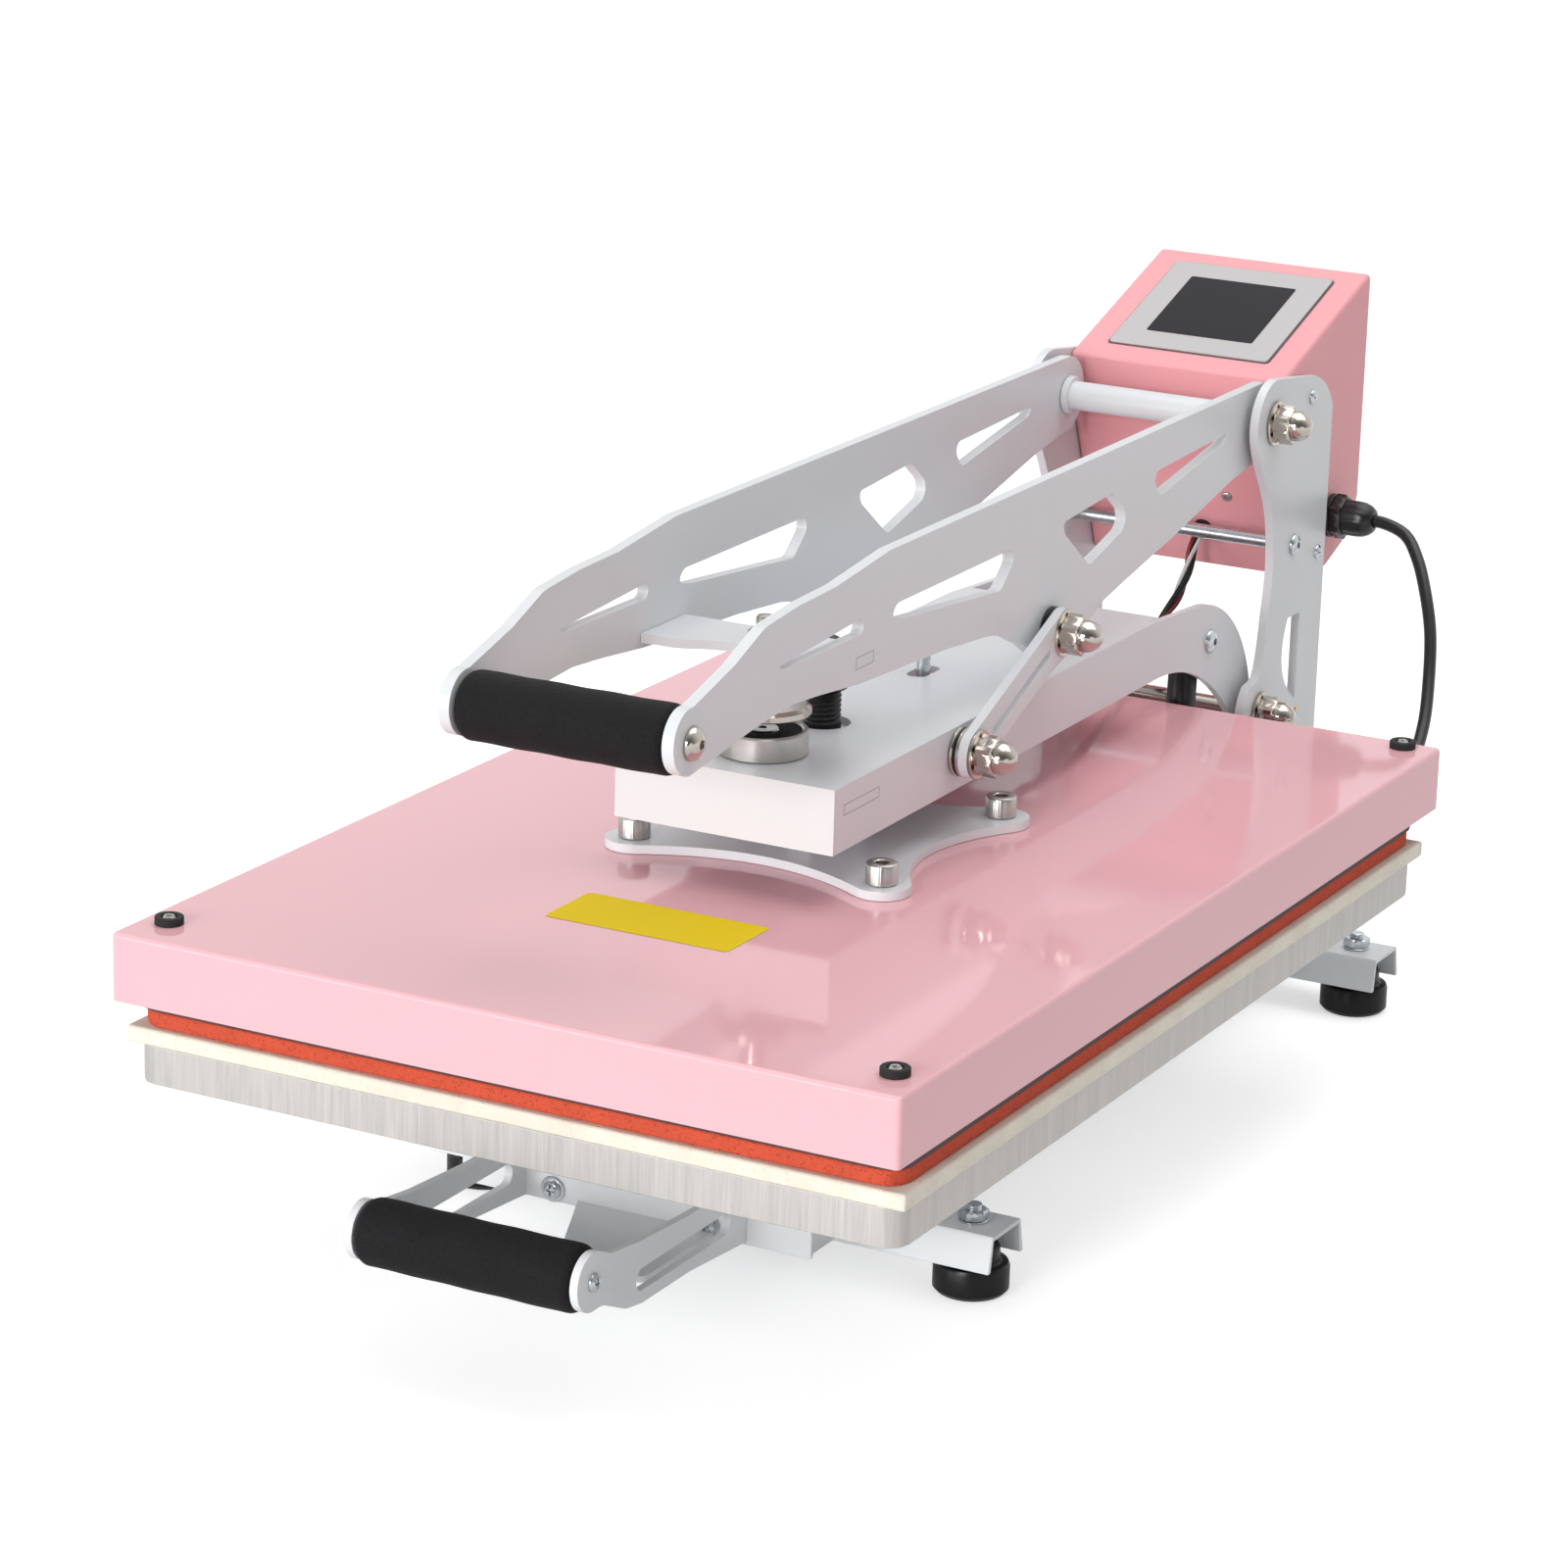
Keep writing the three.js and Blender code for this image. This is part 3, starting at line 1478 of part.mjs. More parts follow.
// Power inlet with the well of its rocker switch, in one flanged housing on the rear wall
function powerInlet() {
  const half = inletWidth / 2;
  const halfHeight = inletHeight / 2;
  const flangeStart = boxRear + fit;
  const flangeEnd = flangeStart + inletProud;
  const body = block(
    -half,
    half,
    boxRear - inletDepth,
    flangeStart + inletProud / 2,
    inletZ - halfHeight,
    inletZ + halfHeight,
  );
  const flange = block(
    -half - inletFrame,
    half + inletFrame,
    flangeStart,
    flangeEnd,
    inletZ - halfHeight - inletFrame,
    inletZ + halfHeight + inletFrame,
  );
  const socketBottom = flangeEnd - socketDepth;
  const socketHalf = socketWidth / 2;
  const low = inletZ - socketHeight / 2;
  const high = inletZ + socketHeight / 2;
  const socket = plateY(
    outline([
      [low, socketX - socketHalf],
      [low, socketX + socketHalf],
      [inletZ, socketX + socketHalf],
      [high, socketX + socketHalf / 2],
      [high, socketX - socketHalf / 2],
      [inletZ, socketX - socketHalf],
    ]),
    socketBottom,
    flangeEnd + over,
  );
  const pins = [-1, 0, 1].map((place) => {
    const x = socketX + place * pinSpacing;
    return block(
      x - pinThickness / 2,
      x + pinThickness / 2,
      socketBottom - pinThickness,
      flangeEnd - inletProud,
      inletZ - pinThickness * 2,
      inletZ + pinThickness,
    );
  });
  const well = block(
    switchX - switchWidth / 2 - fit,
    switchX + switchWidth / 2 + fit,
    flangeEnd - switchDepth,
    flangeEnd + over,
    inletZ - switchHeight / 2 - switchWellGap,
    inletZ + switchHeight / 2 + switchWellGap,
  );
  return join(cut(join(body, flange), socket, well), ...pins);
}

// The rocker: a wedge with two flats that meet at the middle, tipped to its off side.
function powerSwitch() {
  const half = switchHeight / 2;
  const shape = outline([
    [0, fit - half],
    [rockerReach, fit - half],
    [rockerReach - rockerHollow, 0],
    [rockerReach, half - fit],
    [0, half - fit],
  ]);
  return plateX(shape, -switchWidth / 2, switchWidth / 2)
    .rotate([-rockerTilt, 0, 0])
    .translate([switchX, rockerY, inletZ]);
}

// Cables: a section swept along a smooth route through hand-picked points.
const cableSteps = 18;
const leadSteps = 42;
const cableSides = 8;

function tubeAlong(points, radius, steps) {
  const curve = new THREE.CatmullRomCurve3(points.map((p) => new THREE.Vector3(...p)));
  const section = new THREE.Shape();
  for (let side = 0; side < cableSides; side += 1) {
    const angle = (2 * Math.PI * side) / cableSides;
    const [u, v] = [radius * Math.cos(angle), radius * Math.sin(angle)];
    if (side === 0) section.moveTo(u, v);
    else section.lineTo(u, v);
  }
  return solidOf(new THREE.ExtrudeGeometry(section, { steps, extrudePath: curve, curveSegments: 1 }));
}

// Heater cable, from the gland round the side of the press to the back wall of the cover
const glandTip = boxHalf + fit + glandLength;
const coverRearY = platenDepth + coverRearOverhang;
const cableEntryZ = coverTop - cableEntryDrop;
// Points that it passes: [from the middle, behind the hinge, above the hinge]
const heaterPoints = [
  [112, 97, 87.7],
  [124, 87, 77.7],
  [134, 76, 62.7],
  [143, 64, 43.7],
  [150, 48, 20.7],
  [156, 28, -0.3],
  [158.5, 6, -14.3],
  [156, -18, -18.3],
  [151.5, -40, -12.8],
  [148.5, -56, -5.8],
];
const heaterRoute = [
  [glandTip + fit, glandY, glandZ],
  [glandTip + cableLead, glandY, glandZ],
  ...heaterPoints.map(([x, back, rise]) => [x, hingeY + back, hingeZ + rise]),
  [cableEntryX, coverRearY + cableEntry, cableEntryZ - cableEntrySag],
  [cableEntryX, coverRearY + fit, cableEntryZ],
];

// Magnet lead, from the front of the control box into the beam and along it to the magnet
// Points that it passes: [from the middle, behind the hinge, above the hinge]
const leadRearPoints = [
  [7, 55.5, 84.7],
  [7, 49, 82.7],
  [6.5, 43, 74.7],
  [6, 36, 60.7],
  [3, 24, 44.7],
  [0, 6, 34.7],
  [-2, -18, 36.7],
  [-4, -50, 50.7],
  [-8, -85, 62.7],
];
// Its run in the beam: [from the middle, share of the run, share of the beam's height]
const leadRunShares = [
  [-14, 0.115, 0.662],
  [-22, 0.279, 0.723],
  [-26, 0.475, 0.738],
  [-27, 0.672, 0.738],
  [-27, 0.869, 0.738],
];
// Points at the magnet: [from the middle, behind the magnet's axis, above the hinge]
const leadFrontPoints = [
  [-26, 62, 70.2],
  [-22, 30, 68.7],
  [-12, 9, 64.7],
  [-3, 1, 61.7],
  [0, 0, 65.7],
  [0, 0, 71.7],
];
const leadRunStart = hingeY + leadRearPoints[leadRearPoints.length - 1][1];
const leadRunEnd = magnetY + leadFrontPoints[0][1];
const leadRoute = [
  ...leadRearPoints.map(([x, back, rise]) => [x, hingeY + back, hingeZ + rise]),
  ...leadRunShares.map(([x, share, heightShare]) => {
    const y = THREE.MathUtils.lerp(leadRunStart, leadRunEnd, share);
    return [x, y, beamBottom + heightShare * beamHeight];
  }),
  ...leadFrontPoints.map(([x, back, rise]) => [x, magnetY + back, hingeZ + rise]),
  [0, magnetY, beamTop],
];

// The press, one group for each part that moves as a whole
const press = new THREE.Group();

function buildBase() {
  const group = new THREE.Group();
  const places = { front: frontLegY, rear: rearLegY };
  for (const [name, y] of Object.entries(places)) {
    add(group, `${name}_leg`, leg(y), "whitePaint");
    add(group, `foot_${name}_left`, foot(-footX, y), "rubber");
    add(group, `foot_${name}_right`, foot(footX, y), "rubber");
  }
  add(group, "base_tray", baseTray(), "whitePaint");
  const wallInner = trayWidth / 2 - traySheet - fit;
  const railZ = trayFloor + railRise + railHeight / 2;
  const railFace = wallInner - railThickness;
  for (const [name, side] of [["left", -1], ["right", 1]]) {
    const bar = slideBar(
      side * railFace,
      side * wallInner,
      railZ,
      railHeight,
      trayFrontY + railInsetY,
      railLength,
    );
    add(group, `slide_rail_${name}`, bar, "zinc");
    add(group, `upright_${name}`, upright(side), "whitePaint");
  }
  add(group, "spacer_rod", spacerRod(), "zinc");
  add(group, "hinge_shaft", pivotShaft(hingeZ, beamHalf), "nickel");
  add(group, "handle_shaft", pivotShaft(armPivotZ, armOuter), "nickel");
  add(group, "spring_bracket", springBracket(), "zinc");
  add(group, "control_box", controlBox(), "pinkPaint");
  add(group, "box_base", boxBase(), "pinkPaint");
  add(group, "screen_bezel", screenBezel(), "greyPlastic");
  add(group, "touch_screen", touchScreen(), "glass");
  add(group, "cable_gland", cableGland(), "plastic");
  add(group, "power_inlet", powerInlet(), "plastic");
  add(group, "heater_cable", tubeAlong(heaterRoute, cableRadius, cableSteps), "rubber");
  add(group, "magnet_lead", tubeAlong(leadRoute, leadRadius, leadSteps), "rubber");
  return group;
}

function buildDrawer() {
  const group = new THREE.Group();
  const railZ = trayFloor + railRise + railHeight / 2;
  const runnerBack = trayWidth / 2 - carriageRibInset + fit;
  const runnerFace = trayWidth / 2 - traySheet - fit - railThickness - fit;
  for (const [name, side] of [["left", -1], ["right", 1]]) {
    const bar = slideBar(
      side * runnerFace,
      side * runnerBack,
      railZ,
      runnerHeight,
      frontPanelY + carriageSheet + railInsetY,
      runnerLength,
    );
    add(group, `slide_runner_${name}`, bar, "zinc");
  }
  add(group, "drawer_carriage", drawerCarriage(), "whitePaint");
  const half = platenWidth / 2;
  add(
    group,
    "lower_platen",
    plateZ(rectangle(-half, half, 0, platenDepth, platenCorner), lowerPlatenBottom, lowerPlatenTop),
    "aluminium",
  );
  const matHalf = half + matSideOverhang;
  add(
    group,
    "heat_mat",
    block(-matHalf, matHalf, -matEndOverhang, platenDepth + matEndOverhang, matBottom, matTop),
    "felt",
  );
  const padHalf = half - padInset;
  add(
    group,
    "silicone_pad",
    plateZ(rectangle(-padHalf, padHalf, padInset, platenDepth - padInset, padCorner), padBottom, padTop),
    "silicone",
  );
  add(group, "drawer_bracket", drawerBracket(), "whitePaint");
  const gripHalf = drawerPlateSpacing / 2 - drawerSheet - fit;
  add(
    group,
    "drawer_grip",
    foamGrip(
      gripHalf,
      drawerGripRadius,
      drawerRodRadius + fit,
      -drawerGripReach,
      lowerPlatenBottom - drawerGripDrop,
    ),
    "foam",
  );
  return group;
}

function buildBeam() {
  const group = new THREE.Group();
  add(group, "press_beam", pressBeam(), "whitePaint");
  add(group, "platen_cover", platenCover(), "pinkPaint");
  const half = platenWidth / 2;
  const platen = plateZ(rectangle(-half, half, 0, platenDepth, platenCorner), heatBottom, heatTop);
  const threads = spiderHoles(heatTop - capThreadDepth - fit, heatTop + over);
  add(group, "heat_platen", cut(platen, ...threads), "castAluminium");
  const blanket = block(
    -half,
    half,
    0,
    platenDepth,
    heatTop + fit,
    coverTop - coverSheet - fit,
  );
  const blanketHoles = spiderHoles(heatTop - over, coverTop);
  add(group, "insulation_blanket", cut(blanket, ...blanketHoles), "fibre");
  add(group, "mount_spider", mountSpider(), "whitePaint");
  add(group, "pressure_hub", hub(), "zinc");
  add(group, "electromagnet", electromagnet(), "chrome");
  spiderBoltPlaces().forEach(([x, y], index) => {
    add(group, `cap_screw_${index + 1}`, capScrew(x, y), "stainless");
  });
  for (const [name, side] of [["left", -1], ["right", 1]]) {
    add(group, `link_bolt_${name}`, linkBolt(side), "nickel");
  }
  const studY = pressY + guideStudSetback;
  const studBottom = coverTop + fit;
  const stud = join(
    rodZ(guideStudFlangeRadius, studBottom, studBottom + guideStudFlangeHeight, 0, studY),
    rodZ(guideStudRadius, studBottom, beamTop + guideStudRise, 0, studY),
  );
  add(group, "guide_stud", stud, "zinc");
  return group;
}

function buildHandle() {
  const group = new THREE.Group();
  for (const [name, side] of [["left", -1], ["right", 1]]) {
    add(group, `handle_arm_${name}`, arm(side), "whitePaint");
  }
  add(group, "cross_tube", crossTube(), "whitePaint");
  add(group, "cross_plate", crossPlate(), "whitePaint");
  add(group, "armature", armature(), "nickel");
  const gripHalf = armInner - fit;
  add(group, "handle_grip", foamGrip(gripHalf, gripRadius, gripBoltRadius + fit, gripY, gripZ), "foam");
  add(group, "grip_bolt", gripBolt(), "nickel");
  return group;
}

function buildPair(name, make, finish) {
  const group = new THREE.Group();
  add(group, `${name}_left`, make(-1), finish);
  add(group, `${name}_right`, make(1), finish);
  return group;
}

function buildSingle(name, solid, finish) {
  const group = new THREE.Group();
  add(group, name, solid, finish);
  return group;
}

press.add(buildBase());
press.add(buildDrawer());
press.add(buildBeam());
press.add(buildSingle("pressure_screw", pressureScrew(), "blackSteel"));
press.add(buildHandle());
press.add(buildPair("link", link, "whitePaint"));
press.add(buildPair("gas_rod", springRod, "chrome"));
press.add(buildPair("gas_cylinder", springBody, "blackSteel"));
press.add(buildSingle("power_switch", powerSwitch(), "plastic"));

// Centre the footprint: the drawer grip is the front end and the switch's tipped edge the rear.
const frontEnd = -drawerGripReach - drawerGripRadius;
const tiltAngle = THREE.MathUtils.degToRad(rockerTilt);
const rockerSwing = (switchHeight / 2 - fit) * Math.sin(tiltAngle);
const rearEnd = rockerY + rockerReach * Math.cos(tiltAngle) + rockerSwing;
press.position.y = -(frontEnd + rearEnd) / 2;

export default press;
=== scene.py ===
import json

import bpy
import bmesh
import numpy as np
from mathutils import Matrix, Vector
from mathutils.geometry import tessellate_polygon

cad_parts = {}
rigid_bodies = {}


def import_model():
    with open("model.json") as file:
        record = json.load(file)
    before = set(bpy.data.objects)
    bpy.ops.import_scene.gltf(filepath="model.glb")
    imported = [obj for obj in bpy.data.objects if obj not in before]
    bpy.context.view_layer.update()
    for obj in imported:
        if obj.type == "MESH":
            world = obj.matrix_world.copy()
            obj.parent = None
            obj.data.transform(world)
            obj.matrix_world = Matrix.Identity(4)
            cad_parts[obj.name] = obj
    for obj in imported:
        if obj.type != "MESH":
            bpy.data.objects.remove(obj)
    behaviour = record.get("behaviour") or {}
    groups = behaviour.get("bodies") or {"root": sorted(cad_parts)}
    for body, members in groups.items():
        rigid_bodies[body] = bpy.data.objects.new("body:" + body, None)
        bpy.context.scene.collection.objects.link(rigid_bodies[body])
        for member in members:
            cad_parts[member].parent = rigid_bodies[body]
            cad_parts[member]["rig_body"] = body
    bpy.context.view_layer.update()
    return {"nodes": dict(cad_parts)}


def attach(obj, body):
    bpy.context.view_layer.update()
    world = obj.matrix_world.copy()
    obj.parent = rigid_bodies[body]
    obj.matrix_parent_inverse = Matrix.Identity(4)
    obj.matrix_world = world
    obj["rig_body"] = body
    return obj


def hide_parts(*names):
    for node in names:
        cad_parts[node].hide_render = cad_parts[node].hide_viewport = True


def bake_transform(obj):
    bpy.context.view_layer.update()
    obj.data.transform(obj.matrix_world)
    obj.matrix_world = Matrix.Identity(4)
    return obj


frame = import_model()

MM = 0.001
SHIFT = -0.39906  # metres from the front edge of the lower platen to the origin of the press
LIFT = 8.5
HANDS = (("left", -1, "-x"), ("right", 1, "x"))


def spot(x, y, z):
    """A place given in millimetres."""
    return Vector((x * MM, y * MM + SHIFT, (z + LIFT) * MM))


def shown(name, data):
    """A new object of the scene for a mesh, lamp or camera."""
    made = bpy.data.objects.new(name, data)
    bpy.context.scene.collection.objects.link(made)
    return made


# Camera
AZIMUTH, ELEVATION, ROLL = np.radians([27.774, 16.863, 1.638])
FOCAL_SHARE = 5272.4 / 1600.0  # focal length as a share of the picture's width
SENSOR = 36
AIM, DISTANCE = spot(-0.3, 262.0, 207.56), 2.5114
flat_reach = np.cos(ELEVATION)
back = Vector((np.sin(AZIMUTH) * flat_reach, -np.cos(AZIMUTH) * flat_reach, np.sin(ELEVATION)))
level = Vector((np.cos(AZIMUTH), np.sin(AZIMUTH), 0))
steep = back.cross(level)
right = level * float(np.cos(ROLL)) + steep * float(np.sin(ROLL))
upward = steep * float(np.cos(ROLL)) - level * float(np.sin(ROLL))
camera_data = bpy.data.cameras.new("camera")
camera_data.sensor_width = SENSOR
camera_data.lens = SENSOR * FOCAL_SHARE
camera_data.clip_start, camera_data.clip_end = 0.05, 60
camera = shown("camera", camera_data)
facing = Matrix((right, upward, back)).transposed().to_4x4()
camera.matrix_world = Matrix.Translation(AIM + back * DISTANCE) @ facing
bpy.context.scene.camera = camera


# Shader helpers
def feed(tree, inputs, sources):
    """Gives each input in sources its number, vector or colour, or the socket that feeds it."""
    for key, source in sources.items():
        socket = inputs[key]
        if isinstance(source, tuple):
            socket.default_value = source if socket.type == "VECTOR" else (*source, 1)
        elif isinstance(source, (int, float)):
            socket.default_value = source
        else:
            tree.links.new(source, socket)


def node(tree, kind, sources=None, **settings):
    made = tree.nodes.new(kind)
    for key, value in settings.items():
        setattr(made, key, value)
    feed(tree, made.inputs, sources or {})
    return made


def maths(tree, operation, *sources):
    return node(tree, "ShaderNodeMath", dict(enumerate(sources)), operation=operation).outputs[0]


def varied(tree, pattern, amount, middle):
    """middle + (pattern - 0.5) * amount"""
    return maths(tree, "MULTIPLY_ADD", maths(tree, "SUBTRACT", pattern, 0.5), amount, middle)


def tinted(tree, colour, shade):
    """The colour times a shade."""
    sources = {0: colour, "Scale": shade}
    return node(tree, "ShaderNodeVectorMath", sources, operation="SCALE").outputs[0]


def mixed(tree, share, first, second):
    """The colour between first and second at the given share."""
    return node(tree, "ShaderNodeMix", {0: share, 6: first, 7: second}, data_type="RGBA").outputs[2]


def smooth_range(tree, value, low, high, start=0.0):
    """Rises smoothly from start to 1 while value goes from low to high."""
    sources = {"Value": value, "From Min": low, "From Max": high, "To Min": start}
    made = node(tree, "ShaderNodeMapRange", sources, interpolation_type="SMOOTHSTEP")
    return made.outputs["Result"]


def object_place(tree, scale=None):
    """Object coordinates, scaled along each axis if asked."""
    place = node(tree, "ShaderNodeTexCoord").outputs["Object"]
    if scale is None:
        return place
    return node(tree, "ShaderNodeMapping", {"Vector": place, "Scale": scale}).outputs[0]


def noise(tree, place, scale, detail, roughness=0.5):
    sources = {"Vector": place, "Scale": scale, "Detail": detail, "Roughness": roughness}
    return node(tree, "ShaderNodeTexNoise", sources).outputs["Fac"]


def bumped(tree, height, strength, distance):
    sources = {"Height": height, "Strength": strength, "Distance": distance}
    return node(tree, "ShaderNodeBump", sources).outputs[0]


SKIN_OUTPUTS = {
    "Colour": "NodeSocketColor", "Roughness": "NodeSocketFloat", "Normal": "NodeSocketVector",
}


def skin(name, pattern, **given):
    """A shader node group with the given inputs and default values. pattern(tree, inputs) makes its
    nodes and returns the sockets for colour, roughness and normal."""
    tree = bpy.data.node_groups.new(name, "ShaderNodeTree")
    for label, value in given.items():
        kind = "NodeSocketColor" if isinstance(value, tuple) else "NodeSocketFloat"
        socket = tree.interface.new_socket(name=label, in_out="INPUT", socket_type=kind)
        socket.default_value = value
    for label, kind in SKIN_OUTPUTS.items():
        tree.interface.new_socket(name=label, in_out="OUTPUT", socket_type=kind)
    inlet, outlet = tree.nodes.new("NodeGroupInput"), tree.nodes.new("NodeGroupOutput")
    feed(tree, outlet.inputs, dict(zip(SKIN_OUTPUTS, pattern(tree, inlet.outputs))))
    return tree


# Skins; noise and pit scales are counts to the metre, bump distances are metres
def sprayed(tree, given):
    """Orange peel of sprayed paint: a soft ripple and a slow drift of the colour."""
    place = object_place(tree)
    ripple, drift = noise(tree, place, 420, 3), noise(tree, place, 9, 3)
    colour = tinted(tree, given["Colour"], varied(tree, drift, given["Drift"], 1.0))
    gloss = varied(tree, ripple, 0.12, given["Gloss"])
    return colour, gloss, bumped(tree, ripple, given["Ripple"], 0.0002)


def brushed(tree, given):
    """Long fine scratches along the height, with darker and lighter bands."""
    scratches = noise(tree, object_place(tree, (1500, 1500, 30)), 1, 4, 0.65)
    bands = noise(tree, object_place(tree, (160, 160, 8)), 1, 3)
    both = varied(tree, bands, 0.5, maths(tree, "SUBTRACT", scratches, 0.5))
    shade = maths(tree, "MULTIPLY_ADD", both, given["Contrast"], 1.0)
    gloss = varied(tree, scratches, 0.3, given["Gloss"])
    bump = bumped(tree, scratches, given["Depth"], 0.0002)
    return tinted(tree, given["Colour"], shade), gloss, bump


def pitted(tree, given):
    """Small round pits of several sizes, darkened inside with painted shade, on a mottled ground.
    """
    place = object_place(tree)
    sources = {"Vector": place, "Scale": given["Size"]}
    cells = node(tree, "ShaderNodeTexVoronoi", sources, feature="F1")
    grains = noise(tree, place, maths(tree, "MULTIPLY", given["Size"], 0.55), 3)
    reach = maths(tree, "MULTIPLY", cells.outputs["Distance"], 2.2)
    pit = maths(tree, "SUBTRACT", 1.0, maths(tree, "SMOOTH_MIN", reach, 1.0, 0.2))
    pit = maths(tree, "MULTIPLY", pit, maths(tree, "GREATER_THAN", grains, 0.5))
    mottle = varied(tree, noise(tree, place, 45, 3), given["Mottle"], 1.0)
    # Painted shade: the pits, which are recesses, take the darker pit colour
    colour = mixed(tree, pit, tinted(tree, given["Colour"], mottle), given["Pit"])
    height = maths(tree, "SUBTRACT", grains, pit)
    roughness = maths(tree, "MULTIPLY_ADD", pit, 0.1, 0.8)
    return colour, roughness, bumped(tree, height, given["Depth"], 0.0004)


def plated(tree, given):
    """Turned or plated metal: smudges, a little uneven gloss and a fine grain."""
    place = object_place(tree)
    smudge, fine = noise(tree, place, 160, 4), noise(tree, place, 2600, 2)
    colour = tinted(tree, given["Colour"], varied(tree, smudge, given["Smudge"], 1.0))
    gloss = maths(tree, "MULTIPLY_ADD", smudge, 0.12, given["Gloss"])
    return colour, gloss, bumped(tree, fine, 0.05, 0.0001)


WHITE, BLACK = (1, 1, 1, 1), (0, 0, 0, 1)
paint_skin = skin("paint_skin", sprayed, Colour=WHITE, Ripple=0.2, Drift=0.04, Gloss=0.25)
brushing = skin("brushing", brushed, Colour=WHITE, Contrast=0.2, Gloss=0.35, Depth=0.3)
pores = skin("pores", pitted, Colour=WHITE, Pit=BLACK, Size=900.0, Depth=0.5, Mottle=0.2)
plating = skin("plating", plated, Colour=WHITE, Gloss=0.2, Smudge=0.15)
FINISHES = {}


def finish(name, given_skin, metallic=0.0, sheen=0.0, specular=0.5, **values):
    """Stores a material whose colour, roughness and normal come from one of the skins."""
    made = bpy.data.materials.new(name)
    made.use_nodes = True
    tree = made.node_tree
    source = node(tree, "ShaderNodeGroup", values, node_tree=given_skin).outputs
    looks = {"Base Color": source["Colour"], "Roughness": source["Roughness"]}
    looks |= {"Normal": source["Normal"], "Metallic": metallic}
    looks |= {"Sheen Weight": sheen, "Specular IOR Level": specular}
    feed(tree, tree.nodes["Principled BSDF"].inputs, looks)
    made.diffuse_color = (*values["Colour"], 1)
    FINISHES[name] = made


# Paint, rubber and print: colour, ripple, drift, gloss, specular level
for name, colour, ripple, drift, gloss, specular in (
    ("cover_pink", (0.92, 0.50, 0.55), 0.008, 0.03, 0.07, 0.45),
    ("box_pink", (0.90, 0.40, 0.43), 0.25, 0.03, 0.42, 0.35),
    ("sheet_white", (0.765, 0.785, 0.805), 0.12, 0.05, 0.32, 0.5),
    ("foot_rubber", (0.008, 0.008, 0.009), 0.15, 0.3, 0.30, 0.25),
    ("cable_black", (0.010, 0.010, 0.011), 0.08, 0.2, 0.3, 0.5),
    ("wire_white", (0.70, 0.70, 0.70), 0.05, 0.1, 0.35, 0.5),
    ("wire_red", (0.20, 0.012, 0.014), 0.05, 0.1, 0.35, 0.5),
    ("bezel_grey", (0.53, 0.515, 0.515), 0.1, 0.03, 0.4, 0.5),
    ("bezel_line", (0.10, 0.09, 0.10), 0.05, 0.03, 0.4, 0.5),
    ("screen_dark", (0.038, 0.036, 0.040), 0.0, 0.1, 0.5, 0.05),
    ("sticker_yellow", (0.86, 0.62, 0.01), 0.02, 0.04, 0.5, 0.05),
    ("scribe_grey", (0.36, 0.36, 0.38), 0.05, 0.1, 0.4, 0.5),
):
    values = {"Colour": colour, "Ripple": ripple, "Drift": drift, "Gloss": gloss}
    finish(name, paint_skin, specular=specular, **values)

# Cast, turned and plated metal: colour, gloss, smudge, metallic, specular level
for name, colour, gloss, smudge, metallic, specular in (
    ("cast_plate", (0.075, 0.060, 0.064), 0.55, 0.3, 0.1, 0.3),
    ("zinc_blue", (0.56, 0.60, 0.63), 0.2, 0.3, 1.0, 0.5),
    ("nickel_warm", (0.50, 0.46, 0.415), 0.08, 0.1, 1.0, 0.5),
    ("steel_satin", (0.50, 0.485, 0.465), 0.26, 0.2, 1.0, 0.5),
    ("chrome_bright", (0.75, 0.76, 0.78), 0.03, 0.08, 1.0, 0.5),
    ("steel_black", (0.012, 0.012, 0.014), 0.28, 0.3, 0.2, 0.5),
    ("brass_rivet", (0.72, 0.47, 0.18), 0.2, 0.3, 1.0, 0.5),
):
    values = {"Colour": colour, "Gloss": gloss, "Smudge": smudge}
    finish(name, plating, metallic, specular=specular, **values)

# Foam, felt and moulded plastic: colour, painted shade inside the pits and their size, depth,
# mottle, sheen, specular
for name, colour, pit, size, depth, mottle, sheen, specular in (
    ("grip_foam", (0.0075, 0.0068, 0.008), (0.004, 0.004, 0.005), 1100.0, 1.0, 0.6, 0.015, 0.25),
    ("sponge_red", (0.64, 0.080, 0.032), (0.30, 0.03, 0.012), 900.0, 0.8, 0.35, 0.0, 0.5),
    ("felt_cream", (0.86, 0.80, 0.69), (0.80, 0.71, 0.55), 420.0, 0.5, 0.3, 0.1, 0.5),
    ("fibre_white", (0.76, 0.73, 0.67), (0.6, 0.57, 0.5), 500.0, 0.4, 0.2, 0.0, 0.5),
    ("plastic_black", (0.014, 0.014, 0.015), (0.01, 0.01, 0.011), 2200.0, 0.12, 0.2, 0.0, 0.5),
):
    values = {"Colour": colour, "Pit": pit, "Size": size, "Depth": depth, "Mottle": mottle}
    finish(name, pores, sheen=sheen, specular=specular, **values)

values = {"Colour": (0.54, 0.52, 0.50), "Contrast": 0.6, "Gloss": 0.42, "Depth": 0.25}
finish("brushed_edge", brushing, metallic=0.55, **values)


# Mesh helpers
SHARP_ANGLE = np.radians(32)  # smooth shading of a new piece stops at edges that turn more
BEVEL_ANGLE = np.radians(35)  # sheet_piece rounds edges that turn more
CORNER_ANGLE = np.radians(30)  # rounded_copy rounds edges that turn more
CORE = 0.02  # radius in millimetres at which a turned solid is closed on its axis


def add_mesh(name, mesh, look):
    mesh.materials.append(FINISHES[look])
    return shown(name, mesh)


